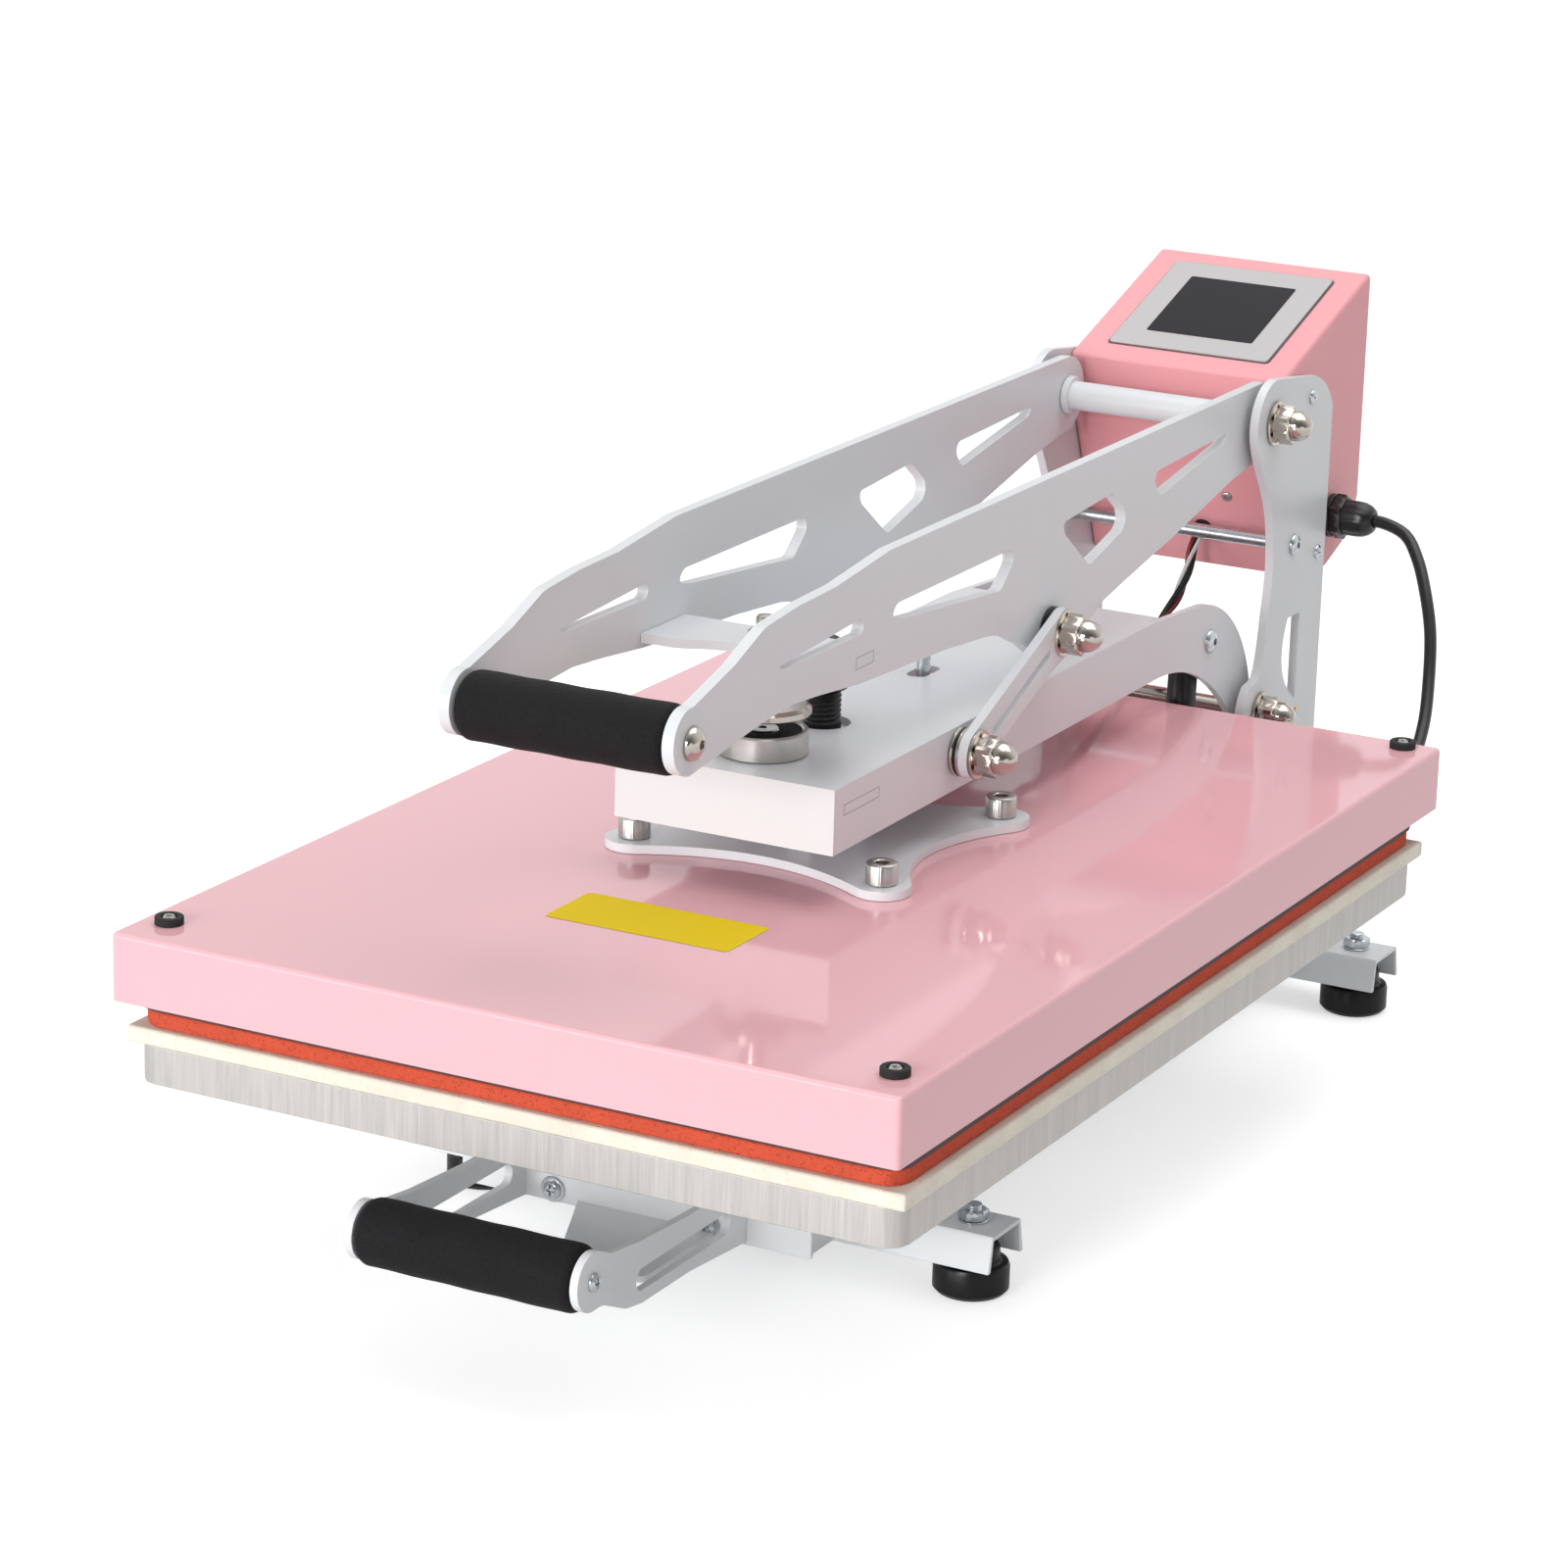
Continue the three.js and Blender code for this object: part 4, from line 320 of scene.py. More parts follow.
def piece(name, corners, faces, look, body, slot=None, replaced=None, smooth=True):
    """A mesh object at the origin from an array of corners and a list of faces, with its finish,
    its body and the CAD node that it stands for. The argument slot is not used."""
    mesh = bpy.data.meshes.new(name)
    corners, faces = np.asarray(corners, float).tolist(), [np.asarray(f).tolist() for f in faces]
    mesh.from_pydata(corners, [], faces)
    mesh.validate()
    build = bmesh.new()
    build.from_mesh(mesh)
    bmesh.ops.remove_doubles(build, verts=build.verts, dist=1e-7)
    bmesh.ops.recalc_face_normals(build, faces=build.faces)
    build.to_mesh(mesh)
    build.free()
    mesh.polygons.foreach_set("use_smooth", [smooth] * len(mesh.polygons))
    made = add_mesh(name, mesh, look)
    if smooth:
        mesh.set_sharp_from_angle(angle=SHARP_ANGLE)
    if body:
        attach(made, body)
    if replaced:
        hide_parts(replaced)
    return made


def flatten(made):
    """Large faces shade flat, and their narrow rounded edges shade smooth between them."""
    weighing = made.modifiers.new("flats", "WEIGHTED_NORMAL")
    weighing.mode = "FACE_AREA"
    weighing.weight = 100


def bevel_edges(made, width, segments, angle):
    bevel = made.modifiers.new("edges", "BEVEL")
    bevel.width = width * MM
    bevel.segments = segments
    bevel.limit_method = "ANGLE"
    bevel.angle_limit = angle
    return bevel


def grid_faces(rows, columns, wrap_rows=False):
    """Quads of a grid of rows by columns; each row is a ring."""
    row = np.arange(rows if wrap_rows else rows - 1)
    r, c = np.meshgrid(row, np.arange(columns), indexing="ij")
    r2, c2 = (r + 1) % rows, (c + 1) % columns
    quads = [r * columns + c, r * columns + c2, r2 * columns + c2, r2 * columns + c]
    return np.stack(quads, -1).reshape(-1, 4)


def closed_faces(rows, columns):
    """Quads of the grid, with its first and last ring filled."""
    first = np.arange(columns)
    return [*grid_faces(rows, columns), first, first + (rows - 1) * columns]


X, Y, Z = Vector((1, 0, 0)), Vector((0, 1, 0)), Vector((0, 0, 1))
AXES = {"x": (X, Y, Z), "-x": (-X, -Y, Z), "y": (Y, Z, X), "-y": (-Y, Z, -X), "z": (Z, X, Y)}


def turned(profile, base, axis="z", sides=48, radius_share=None):
    """Corners and faces of a lathe: profile rows are (radius, distance along axis) in millimetres.
    corner = base + axis * distance + (cos a * side + sin a * other) * radius, for a full turn of a.
    radius_share(a, row) may shrink the radius at an angle, as for a hexagon."""
    along, side, other = [np.array(v) for v in (AXES[axis] if isinstance(axis, str) else axis)]
    rows = np.array(profile, float)
    angle = np.linspace(0, 2 * np.pi, sides, endpoint=False)
    radius = np.repeat(rows[:, 0:1], sides, 1)
    if radius_share is not None:
        radius = radius_share(angle, radius)
    spokes = np.cos(angle)[:, None] * side + np.sin(angle)[:, None] * other
    corners = rows[:, 1, None, None] * along + radius[..., None] * spokes[None]
    return (np.array(base) + corners * MM).reshape(-1, 3), closed_faces(len(rows), sides)


def rod(radius, start, end, base, axis="z", sides=48):
    """A plain cylinder between two distances along the axis."""
    return turned([(radius, start), (radius, end)], base, axis, sides)


def merged(*parts):
    """Several (corners, faces) joined in one list."""
    corners, faces, start = [], [], 0
    for part_corners, part_faces in parts:
        corners.append(np.asarray(part_corners, float))
        faces += [tuple(i + start for i in f) for f in part_faces]
        start += len(part_corners)
    return np.concatenate(corners), faces


def hexagon(across_flats):
    """Radius of a hexagon with that width across its flats, never above the given radius."""
    def share(angle, radius):
        flat = across_flats / 2 / np.cos((angle + np.pi / 6) % (np.pi / 3) - np.pi / 6)
        return np.minimum(radius, flat[None, :])
    return share


def nut(base, axis, across, height):
    """A hexagon nut with both ends chamfered: the hexagon cut by a wide cone at each end."""
    corner = across / 2 / np.cos(np.pi / 6)
    flat = across / 2 * 0.97
    drop = (corner - flat) * 0.5
    profile = [(flat, 0), (corner, drop), (corner, height - drop), (flat, height)]
    return turned(profile, base, axis, 72, hexagon(across))


def dome(base, axis, radius, height, neck):
    """Half an ellipse turned about the axis, on a short neck."""
    turn = np.linspace(0, np.pi / 2, 9)
    cap = zip(np.maximum(radius * np.cos(turn), CORE), neck + height * np.sin(turn))
    return turned([(radius, 0), *cap], base, axis, 48)


def washer(base, axis, radius, thick):
    edge = thick * 0.3
    rows = [(radius - edge, 0), (radius, edge), (radius, thick - edge), (radius - edge, thick)]
    return turned(rows, base, axis, 64)


def thread(radius, low, high, pitch, base, depth, sides):
    """A screw thread: the radius falls by depth times a triangular wave of height / pitch less the
    share of the turn."""
    rows = np.arange(low, high, pitch / 6)
    angle = np.linspace(0, 2 * np.pi, sides, endpoint=False)
    wave = np.abs(((rows[:, None] / pitch - angle[None] / (2 * np.pi)) % 1) * 2 - 1)
    r = radius - depth * wave
    r[0] = r[-1] = radius - depth
    z = np.repeat(rows[:, None], sides, 1)
    corners = np.stack([r * np.cos(angle), r * np.sin(angle), z], -1).reshape(-1, 3)
    return np.array(base) + corners * MM, closed_faces(len(rows), sides)


def mark_folds(build, share, reach):
    """Weighs the edges for a bevel: 1 where two broad outside faces meet, as at a sheet's fold,
    and share at every other corner. A face is outside where all corners lie behind its plane, and
    broad where its area over its longest edge is above reach."""
    weight = build.edges.layers.float.new("bevel_weight_edge")
    corners = np.array([v.co for v in build.verts])
    broad = set()
    for face in build.faces:
        normal = np.array(face.normal)
        outside = (corners @ normal).max() - normal @ np.array(face.verts[0].co) < 1e-5
        longest = max(e.calc_length() for e in face.edges)
        if outside and normal[2] > -0.9 and face.calc_area() > reach * longest:
            broad.add(face)
    for edge in build.edges:
        if len(edge.link_faces) == 2 and edge.calc_face_angle(0) > CORNER_ANGLE:
            edge[weight] = 1.0 if all(face in broad for face in edge.link_faces) else share


def rounded_copy(name, look, width, segments, fold):
    """A copy of a CAD node with its edges rounded, its flat faces merged, standing for that node.
    Its outer folds take the radius fold if there is one, and its other edges width."""
    source = frame["nodes"][name]
    mesh = source.data.copy()
    mesh.name = name + "_finished"
    build = bmesh.new()
    build.from_mesh(mesh)
    bmesh.ops.remove_doubles(build, verts=build.verts, dist=2e-6)
    flat = np.radians(1.0)
    bmesh.ops.dissolve_limit(build, angle_limit=flat, verts=build.verts, edges=build.edges)
    if fold:
        mark_folds(build, width / fold, 3 * fold * MM)
    build.to_mesh(mesh)
    build.free()
    mesh.polygons.foreach_set("use_smooth", [True] * len(mesh.polygons))
    mesh.materials.clear()
    made = add_mesh(name + "_finished", mesh, look)
    mesh.set_sharp_from_angle(angle=np.pi)
    bevel = bevel_edges(made, fold or width, segments, CORNER_ANGLE)
    bevel.limit_method = "WEIGHT" if fold else "ANGLE"
    bevel.use_clamp_overlap = not fold
    flatten(made)
    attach(made, source["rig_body"])
    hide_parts(name)


# Cables
def smooth_route(points, count):
    """A centripetal Catmull-Rom curve through the points, resampled at even distances: straight
    blends between neighbouring points are blended, and these once more."""
    p = np.array(points, float)
    p = np.vstack([2 * p[0] - p[1], p, 2 * p[-1] - p[-2]])
    knots = np.concatenate([[0], np.cumsum(np.linalg.norm(np.diff(p, axis=0), axis=1) ** 0.5)])

    def between(t, first, last, a, b):
        """The place at t, between a at the knot first and b at the knot last."""
        start, end = knots[first], knots[last]
        return (end - t) / (end - start) * a + (t - start) / (end - start) * b

    dense = []
    for i in range(1, len(p) - 2):
        t = np.linspace(knots[i], knots[i + 1], 40, endpoint=False)[:, None]
        a = [between(t, j, j + 1, p[j], p[j + 1]) for j in (i - 1, i, i + 1)]
        b = [between(t, j - 1, j + 1, *pair) for j, pair in ((i, a[:2]), (i + 1, a[1:]))]
        dense.append(between(t, i, i + 1, *b))
    dense = np.vstack(dense + [p[-2][None]])
    length = np.concatenate([[0], np.cumsum(np.linalg.norm(np.diff(dense, axis=0), axis=1))])
    even = np.linspace(0, length[-1], count)
    route = np.stack([np.interp(even, length, dense[:, k]) for k in range(3)], 1)
    return route, float(length[-1])


def tube(route, radius, sides, offset=None):
    """Corners and faces of a round tube along a route, its rings turned as little as possible.
    offset(s) gives a sideways place of the tube at share s of the route, in the rings' plane."""
    step = np.gradient(route, axis=0)
    step /= np.linalg.norm(step, axis=1)[:, None]
    side = np.zeros_like(route)
    start = np.cross(step[0], (0, 0, 1) if abs(step[0][2]) < 0.9 else (1, 0, 0))
    side[0] = start / np.linalg.norm(start)
    for i in range(1, len(route)):
        v = side[i - 1] - step[i] * np.dot(side[i - 1], step[i])
        side[i] = v / np.linalg.norm(v)
    other = np.cross(step, side)
    middle = route
    if offset is not None:
        u, v = offset(np.linspace(0, 1, len(route)))
        middle = route + side * u[:, None] + other * v[:, None]
    angle = np.linspace(0, 2 * np.pi, sides, endpoint=False)[None, :, None]
    spokes = np.cos(angle) * side[:, None] + np.sin(angle) * other[:, None]
    corners = middle[:, None] + radius * spokes
    return corners.reshape(-1, 3), closed_faces(len(route), sides), middle


HEATER_ROUTE = [
    (87.3, 791, 243), (96, 791, 243), (112, 787, 239), (124, 777, 229), (134, 766, 214),
    (143, 754, 195), (150, 738, 172), (156, 718, 151), (158.5, 696, 137), (156, 672, 133),
    (151.5, 650, 138.5), (148.5, 634, 145.5), (148, 623.5, 148.2), (148, 617.8, 148.4),
]
HEATER_RADIUS = 0.0035
heater_path, heater_length = smooth_route([spot(*p) for p in HEATER_ROUTE], 60)
corners, faces, _ = tube(heater_path, HEATER_RADIUS, 24)
sheath = piece("heater_cable_sheath", corners, faces, "cable_black", None, "black_rubber")
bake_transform(sheath)
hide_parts("heater_cable")

LEAD_ROUTE = [
    (7, 745.5, 236), (7, 739, 234), (6.5, 733, 226), (6, 726, 212), (3, 714, 196), (0, 696, 186),
    (-2, 672, 188), (-4, 640, 202), (-8, 605, 214), (-14, 570, 219), (-22, 520, 221),
    (-26, 460, 221.5), (-27, 400, 221.5), (-27, 340, 221.5), (-26, 300, 221.5), (-22, 268, 220),
    (-12, 247, 216), (-3, 239, 213), (0, 238, 217), (0, 238, 223), (0, 238, 230),
]
TWIST = 60  # radians that the wires wind round each other over their length
WIRES = (
    ("cable_black", 0.0019, 0.0013), ("wire_white", 0.0012, 0.002), ("wire_red", 0.0012, 0.002),
)
lead_path, _ = smooth_route([spot(*p) for p in LEAD_ROUTE], 150)
for index, (look, radius, orbit) in enumerate(WIRES):
    start = 2 * np.pi * index / 3

    def wound(s, start=start, orbit=orbit):
        return orbit * np.cos(start + TWIST * s), orbit * np.sin(start + TWIST * s)

    corners, faces, middle = tube(lead_path, radius, 12, wound)
    name = "magnet_wire_" + look.split("_")[1]
    wire = piece(name, corners, faces, look, None, "black_rubber")
    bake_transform(wire)
    length = float(np.linalg.norm(np.diff(middle, axis=0), axis=1).sum())
    if index == 0:
        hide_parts("magnet_lead")


# Sizes of the press in millimetres; a pair is the Y and Z of an axle
HINGE = (690.0, 151.3)
HANDLE_PIVOT = (690.0, 315.7)
LINK_LOW, LINK_HIGH = (331.5, 217.0), (428.3, 256.8)
SPACER = (726, 240)
GRIP, DRAWER_GRIP = (57.0, 288.7), (-22.0, 59.5)
SPRING_FOOT, SPRING_HEAD, SPRING_X = (632.0, 54.0), (640.0, 202.6), 45
AXLE_BORE, BOLT_BORE = 6.3, 5.3
PRESS_Y, MAGNET_Y, GUIDE_Y = 300.0, 238.0, 410
SPIDER_X, SPIDER_Y = 68, 65
COVER_TOP = 171.6
SPIDER_BOTTOM, SPIDER_TOP = 171.9, 176.4
BEAM_BOTTOM, BEAM_TOP = 197.5, 230.0
BEAM_HALF, BEAM_SHEET, BEAM_FRONT = 59.4, 4.0, 200
ARM_INNER, ARM_OUTER = 55.0, 61.0
SIDE_INNER, SIDE_OUTER = 65.0, 70.0


# Fasteners
def cap_nut(side, x, axle, thick=1.7):
    """Washer, hexagon nut and domed cap in a row outwards from x on an axle."""
    axis = "x" if side > 0 else "-x"
    places = [spot(side * (x + shift), *axle) for shift in (0, 1.7, 11.0)]
    nut_and_dome = nut(places[1], axis, 18.9, 9.5), dome(places[2], axis, 8.4, 9.6, 0.6)
    return [washer(places[0], axis, 12.5, thick), *nut_and_dome]


def socketed(socket):
    """Turns the rings up to the socket's radius into its hexagon."""
    def share(angle, r):
        return np.where(r <= socket + 0.01, hexagon(socket * np.sqrt(3))(angle, r), r)
    return share


def cap_screw(base, radius=7.9, height=10.5, socket=3.6, shank=36.4, shank_radius=4.0):
    """A cap screw standing on base: chamfered knurled head, hexagon socket and shank below.
    The knurl is a ripple of the head's radius, 36 crests round."""
    rows = [(CORE, -shank), (shank_radius, -shank), (shank_radius, 0), (radius - 0.3, 0)]
    rows += [(radius, 0.4), (radius, height - 1.0), (radius - 0.35, height - 0.35)]
    rows += [(radius - 1.0, height), (socket + 0.5, height), (socket, height - 0.5)]
    rows += [(socket, height - 4.5), (CORE, height - 5.5)]

    def share(angle, r):
        ripple = 1 - 0.012 * (1 + np.cos(36 * angle)) / 2
        return socketed(socket)(angle, np.where(r > radius - 0.5, r * ripple, r))

    return turned(rows, base, "z", 144, share)


def crown(radius, rim, height, end):
    """Rows of a domed head that rises from rim to height while an angle turns from 0 to end."""
    turn = np.linspace(0, end, 8)
    rise = rim + (height - rim) * np.sin(turn) / np.sin(end)
    return [(radius, 0), *zip(radius * np.cos(turn), rise)]


def button_screw(base, axis, radius, height, socket):
    """A domed head with a hexagon socket."""
    rows = crown(radius, 0.3, height, 1.25)
    rows += [(socket, height - 0.2), (socket, height - 2.2), (CORE, height - 2.6)]
    return turned(rows, base, axis, 72, socketed(socket))


def cross_screw(base, axis, radius, height, arm=0.55, half=0.13):
    """A domed head with a cross recess. The recess edge lies, at each angle, where the longer of
    two crossed bars ends; arm and half are the bars' half length and half width over the radius."""
    reach, width = radius * arm, radius * half
    rows = [row for row in crown(radius, height * 0.25, height, 1.2) if row[0] > reach + 0.2]
    rows += [(reach + 0.12, height), (reach, height - 0.08)]
    rows += [(reach * 0.6, height * 0.35), (CORE, height * 0.3)]

    def share(angle, r):
        c, s = np.abs(np.cos(angle)) + 1e-6, np.abs(np.sin(angle)) + 1e-6
        edge = np.maximum(np.minimum(width / c, reach / s), np.minimum(reach / c, width / s))
        return np.where(r <= reach + 0.01, edge[None, :] * r / reach, r)

    return turned(rows, base, axis, 96, share)


# Flat sheet pieces
BEND_STEP = 8.0  # degrees from point to point round a corner
BEND_ROOM = 0.48  # largest share of the shorter side that a corner's arc takes
STRAIGHT = 1.55  # half angle in radians above which a corner stays a plain point


def rounded(corners, radius=0.0):
    """A loop whose corners are arcs that touch both sides: an arc's ends lie radius / tan(half the
    corner's angle) from the corner. A corner may bring its own radius as a third number."""
    given = [tuple(c) if len(c) == 3 else (*c, radius) for c in corners]
    points = np.array([c[:2] for c in given], float)
    before, after = np.roll(points, 1, 0) - points, np.roll(points, -1, 0) - points
    loop = []
    for p, a, b, r in zip(points, before, after, [c[2] for c in given]):
        room = BEND_ROOM * min(np.linalg.norm(a), np.linalg.norm(b))
        a, b = a / np.linalg.norm(a), b / np.linalg.norm(b)
        half = np.arccos(np.clip(a @ b, -1, 1)) / 2
        if r <= 0 or half > STRAIGHT:
            loop.append(p)
            continue
        reach = min(r / np.tan(half), room)
        middle = p + (a + b) / np.linalg.norm(a + b) * reach / np.cos(half)
        start, end = p + a * reach - middle, p + b * reach - middle
        turn = np.pi - 2 * half
        share = np.linspace(0, 1, max(3, int(np.degrees(turn) / BEND_STEP) + 2))[:, None]
        bend = np.sin((1 - share) * turn) * start + np.sin(share * turn) * end
        loop.extend(middle + bend / np.sin(turn))
    return np.array(loop)


def square(half, radius):
    return rounded([(-half, -half), (half, -half), (half, half), (-half, half)], radius)


def arc(centre, radius, start, end, count=24):
    """Points on a circle from one angle to another, in degrees."""
    turn = np.radians(np.linspace(start, end, count))
    return np.stack([centre[0] + radius * np.cos(turn), centre[1] + radius * np.sin(turn)], 1)


def ring(centre, radius):
    return arc(centre, radius, 0, 360, 41)[:-1]


def curve(points, count):
    """A Bezier curve: neighbouring points are blended by share until one is left."""
    share = np.linspace(0, 1, count)[:, None]
    points = [np.array(p, float) for p in points]
    while len(points) > 1:
        points = [(1 - share) * a + share * b for a, b in zip(points, points[1:])]
    return points[0]


def long_hole(start, end, width):
    """A slot with round ends between two centres."""
    start, end = np.array(start, float), np.array(end, float)
    turn = np.degrees(np.arctan2(*(end - start)[::-1]))
    near = arc(start, width / 2, turn + 90, turn + 270, 14)
    return np.concatenate([arc(end, width / 2, turn - 90, turn + 90, 14), near])


def plate(loops, low, high, across):
    """Corners and faces of a flat plate: its outline and holes at both levels, joined by walls.
    across is the axis through the thickness, and the outlines lie along the other two: (Y, Z),
    (X, Z) or (X, Y)."""
    flat = np.concatenate(loops)
    triangles = tessellate_polygon([[Vector((*p, 0)) for p in loop] for loop in loops])
    count = len(flat)
    ends = []
    for height in (low, high):
        a, b, c = flat[:, 0], flat[:, 1], np.full(count, float(height))
        x, y, z = {"x": (c, a, b), "y": (a, c, b), "z": (a, b, c)}[across]
        ends.append(np.stack([x * MM, y * MM + SHIFT, (z + LIFT) * MM], 1))
    faces = [tuple(t) for t in triangles] + [tuple(i + count for i in t) for t in triangles]
    start = 0
    for loop in loops:
        i = np.arange(len(loop))
        j = (i + 1) % len(loop)
        walls = np.stack([i + start, j + start, j + start + count, i + start + count], 1)
        faces += [tuple(q) for q in walls]
        start += len(loop)
    return np.concatenate(ends), faces


def side_plate(loops, side, inner, outer):
    """A plate across X between two distances from the middle, at the left or the right hand."""
    return plate(loops, *sorted((side * inner, side * outer)), "x")


def block(x0, x1, y0, y1, z0, z1):
    return plate([np.array([(x0, y0), (x1, y0), (x1, y1), (x0, y1)], float)], z0, z1, "z")


def unite(name, parts, look):
    """Closed solids united into one; a part given as ("cut", corners, faces) is taken away."""
    things = []
    for index, part in enumerate(parts):
        cutting = isinstance(part[0], str)
        solid = piece(f"{name}_part{index}", *part[-2:], look, None, smooth=False)
        things.append((cutting, solid))
    whole = things[0][1]
    for cutting, tool in things[1:]:
        step = whole.modifiers.new("step", "BOOLEAN")
        step.operation = "DIFFERENCE" if cutting else "UNION"
        step.solver = "EXACT"
        step.object = tool
    bpy.context.view_layer.update()
    depsgraph = bpy.context.evaluated_depsgraph_get()
    shaped = bpy.data.meshes.new_from_object(whole.evaluated_get(depsgraph))
    whole.modifiers.clear()
    whole.data = shaped
    for _, tool in things[1:]:
        bpy.data.objects.remove(tool)
    return whole


def sheet_piece(name, parts, body, node_name=None, edge=0.5, segments=2, united=False,
                look="sheet_white"):
    """One piece made of closed solids, united if asked, with its edges rounded by a bevel."""
    if united:
        made = unite(name, parts, look)
    else:
        made = piece(name + "_raw", *merged(*parts), look, None, smooth=False)
    made.name = name
    mesh = made.data
    build = bmesh.new()
    build.from_mesh(mesh)
    flat = np.radians(0.6)
    bmesh.ops.dissolve_limit(build, angle_limit=flat, verts=build.verts, edges=build.edges)
    build.to_mesh(mesh)
    build.free()
    mesh.polygons.foreach_set("use_smooth", [True] * len(mesh.polygons))
    if edge:
        bevel_edges(made, edge, segments, BEVEL_ANGLE)
    flatten(made)
    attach(made, body)
    if node_name:
        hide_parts(node_name)


# Handle arms: the edge and the cut-outs as shares of the reach and of the rise above the pivot;
# None in the edge is the round tip
ARM_REACH, ARM_RISE = 633.0, 21.3
ARM_EDGE = [
    (0.7, 1), (0.786, 0.72), (0.844, 0.67), (0.895, 0.53), (0.94, 0), None, (0.962, -1.82),
    (0.9, -1.58), (0.853, -1.49), (0.81, -1.58), (0.746, -1.77), (0.684, -1.85), (0.6, -1.97),
    (0.528, -2.15), (0.5, -2.3), (0.46, -2.82), (0.435, -3.28), (0.395, -3.28), (0.335, -2.99),
    (0.31, -2.7), (0.27, -2.47), (0.17, -1.93), (0.06, -1.25),
]
ARM_CUTS = [
    [(0.875, -0.5), (0.742, -0.27), (0.741, -0.65), (0.866, -0.6)],
    [(0.695, -0.6), (0.687, -0.31), (0.472, -0.31), (0.507, -1.2), (0.673, -0.74)],
    [(0.395, -0.25), (0.303, -0.08), (0.26, -1.02), (0.342, -1.63), (0.392, -0.55)],
    [(0.224, -0.06), (0.208, -0.74), (0.077, -0.15), (0.072, 0.08)],
]
EDGE_BEND, CUT_BEND = 21.0, 7.0  # radii of the corners


def arm_place(share):
    return HANDLE_PIVOT[0] - share[0] * ARM_REACH, HANDLE_PIVOT[1] + share[1] * ARM_RISE


outline = []
for share in ARM_EDGE:
    if share:
        outline.append((*arm_place(share), EDGE_BEND))
    else:
        outline += [(*p, 0) for p in arc((GRIP[0] - 1, GRIP[1] + 1), 15.7, 84, 268, 30)]
outline += [(*p, 0) for p in arc(HANDLE_PIVOT, 21.1, -88, 90, 30)]
arm_loops = [rounded(outline)]
arm_loops += [rounded([arm_place(s) for s in cut], CUT_BEND) for cut in ARM_CUTS]
arm_loops += [ring(HANDLE_PIVOT, AXLE_BORE), ring(GRIP, BOLT_BORE)]

# Links: round ends, a slightly hollow lower edge and a long slot
LINK_HALF, LINK_HOLLOW, SLOT_WIDTH = 12.5, 7.5, 5.0
low, high = np.array(LINK_LOW), np.array(LINK_HIGH)
length = float(np.linalg.norm(high - low))
along = (high - low) / length
out = np.array([-along[1], along[0]])
turn = np.degrees(np.arctan2(along[1], along[0]))
share = np.linspace(0, 1, 18)[1:-1, None]
hollow = curve([(-LINK_HALF,), (-LINK_HOLLOW,), (-LINK_HALF,)], 18)[1:-1]
ends = [arc(low, LINK_HALF, turn + 90, turn + 270), arc(high, LINK_HALF, turn - 90, turn + 90)]
loop = np.concatenate([ends[0], low + along * share * length + out * hollow, ends[1]])
margin = along * 0.19 * length
link_loops = [loop, long_hole(low + margin, high - margin, SLOT_WIDTH), ring(LINK_LOW, BOLT_BORE)]

# Uprights: rounded head over a curved neck, window behind the elbow, folded foot
UPRIGHT_HALF, UPRIGHT_FRONT, UPRIGHT_BACK, UPRIGHT_FOOT = 24, 666, 772.5, 30.1
FLANGE_INNER, FLANGE_SHEET, AXLE_RISE = 43, 5, 164.4
# Places on the neck, as shares of UPRIGHT_HALF behind the axles and of AXLE_RISE above the hinge
NECK = ((-0.17, 0.13), (0.23, 0.36), (0.35, 0.5), (0.11, 0.69), (-0.78, 0.9))
neck = np.array([(HINGE[0] + b * UPRIGHT_HALF, HINGE[1] + u * AXLE_RISE) for b, u in NECK])
start = arc(HINGE, UPRIGHT_HALF, 180, 129.6, 8)
end = arc(HANDLE_PIVOT, UPRIGHT_HALF, 205.2, 82.8)
bend, _ = smooth_route(np.column_stack([np.vstack([start[-1], neck, end[0]]), np.zeros(7)]), 40)
shoulder = curve([(744.0, 332.5), (765.3, 326.5), (UPRIGHT_BACK, 309.9)], 12)
foot = [(UPRIGHT_FRONT, UPRIGHT_FOOT)], [(UPRIGHT_BACK, UPRIGHT_FOOT)]
outline = np.concatenate([foot[0], start, bend[1:-1, :2], end, shoulder, foot[1]])
window = curve([(724.1, 198.2), (706.8, 167.7), (740.9, 148.0)], 14)
window = np.concatenate([window, [(740.9, 198.2 - 0.3)]])
bores = [ring(HINGE, AXLE_BORE), ring(HANDLE_PIVOT, AXLE_BORE), ring(SPACER, 4.3)]
upright_loops = [outline, window, *bores]

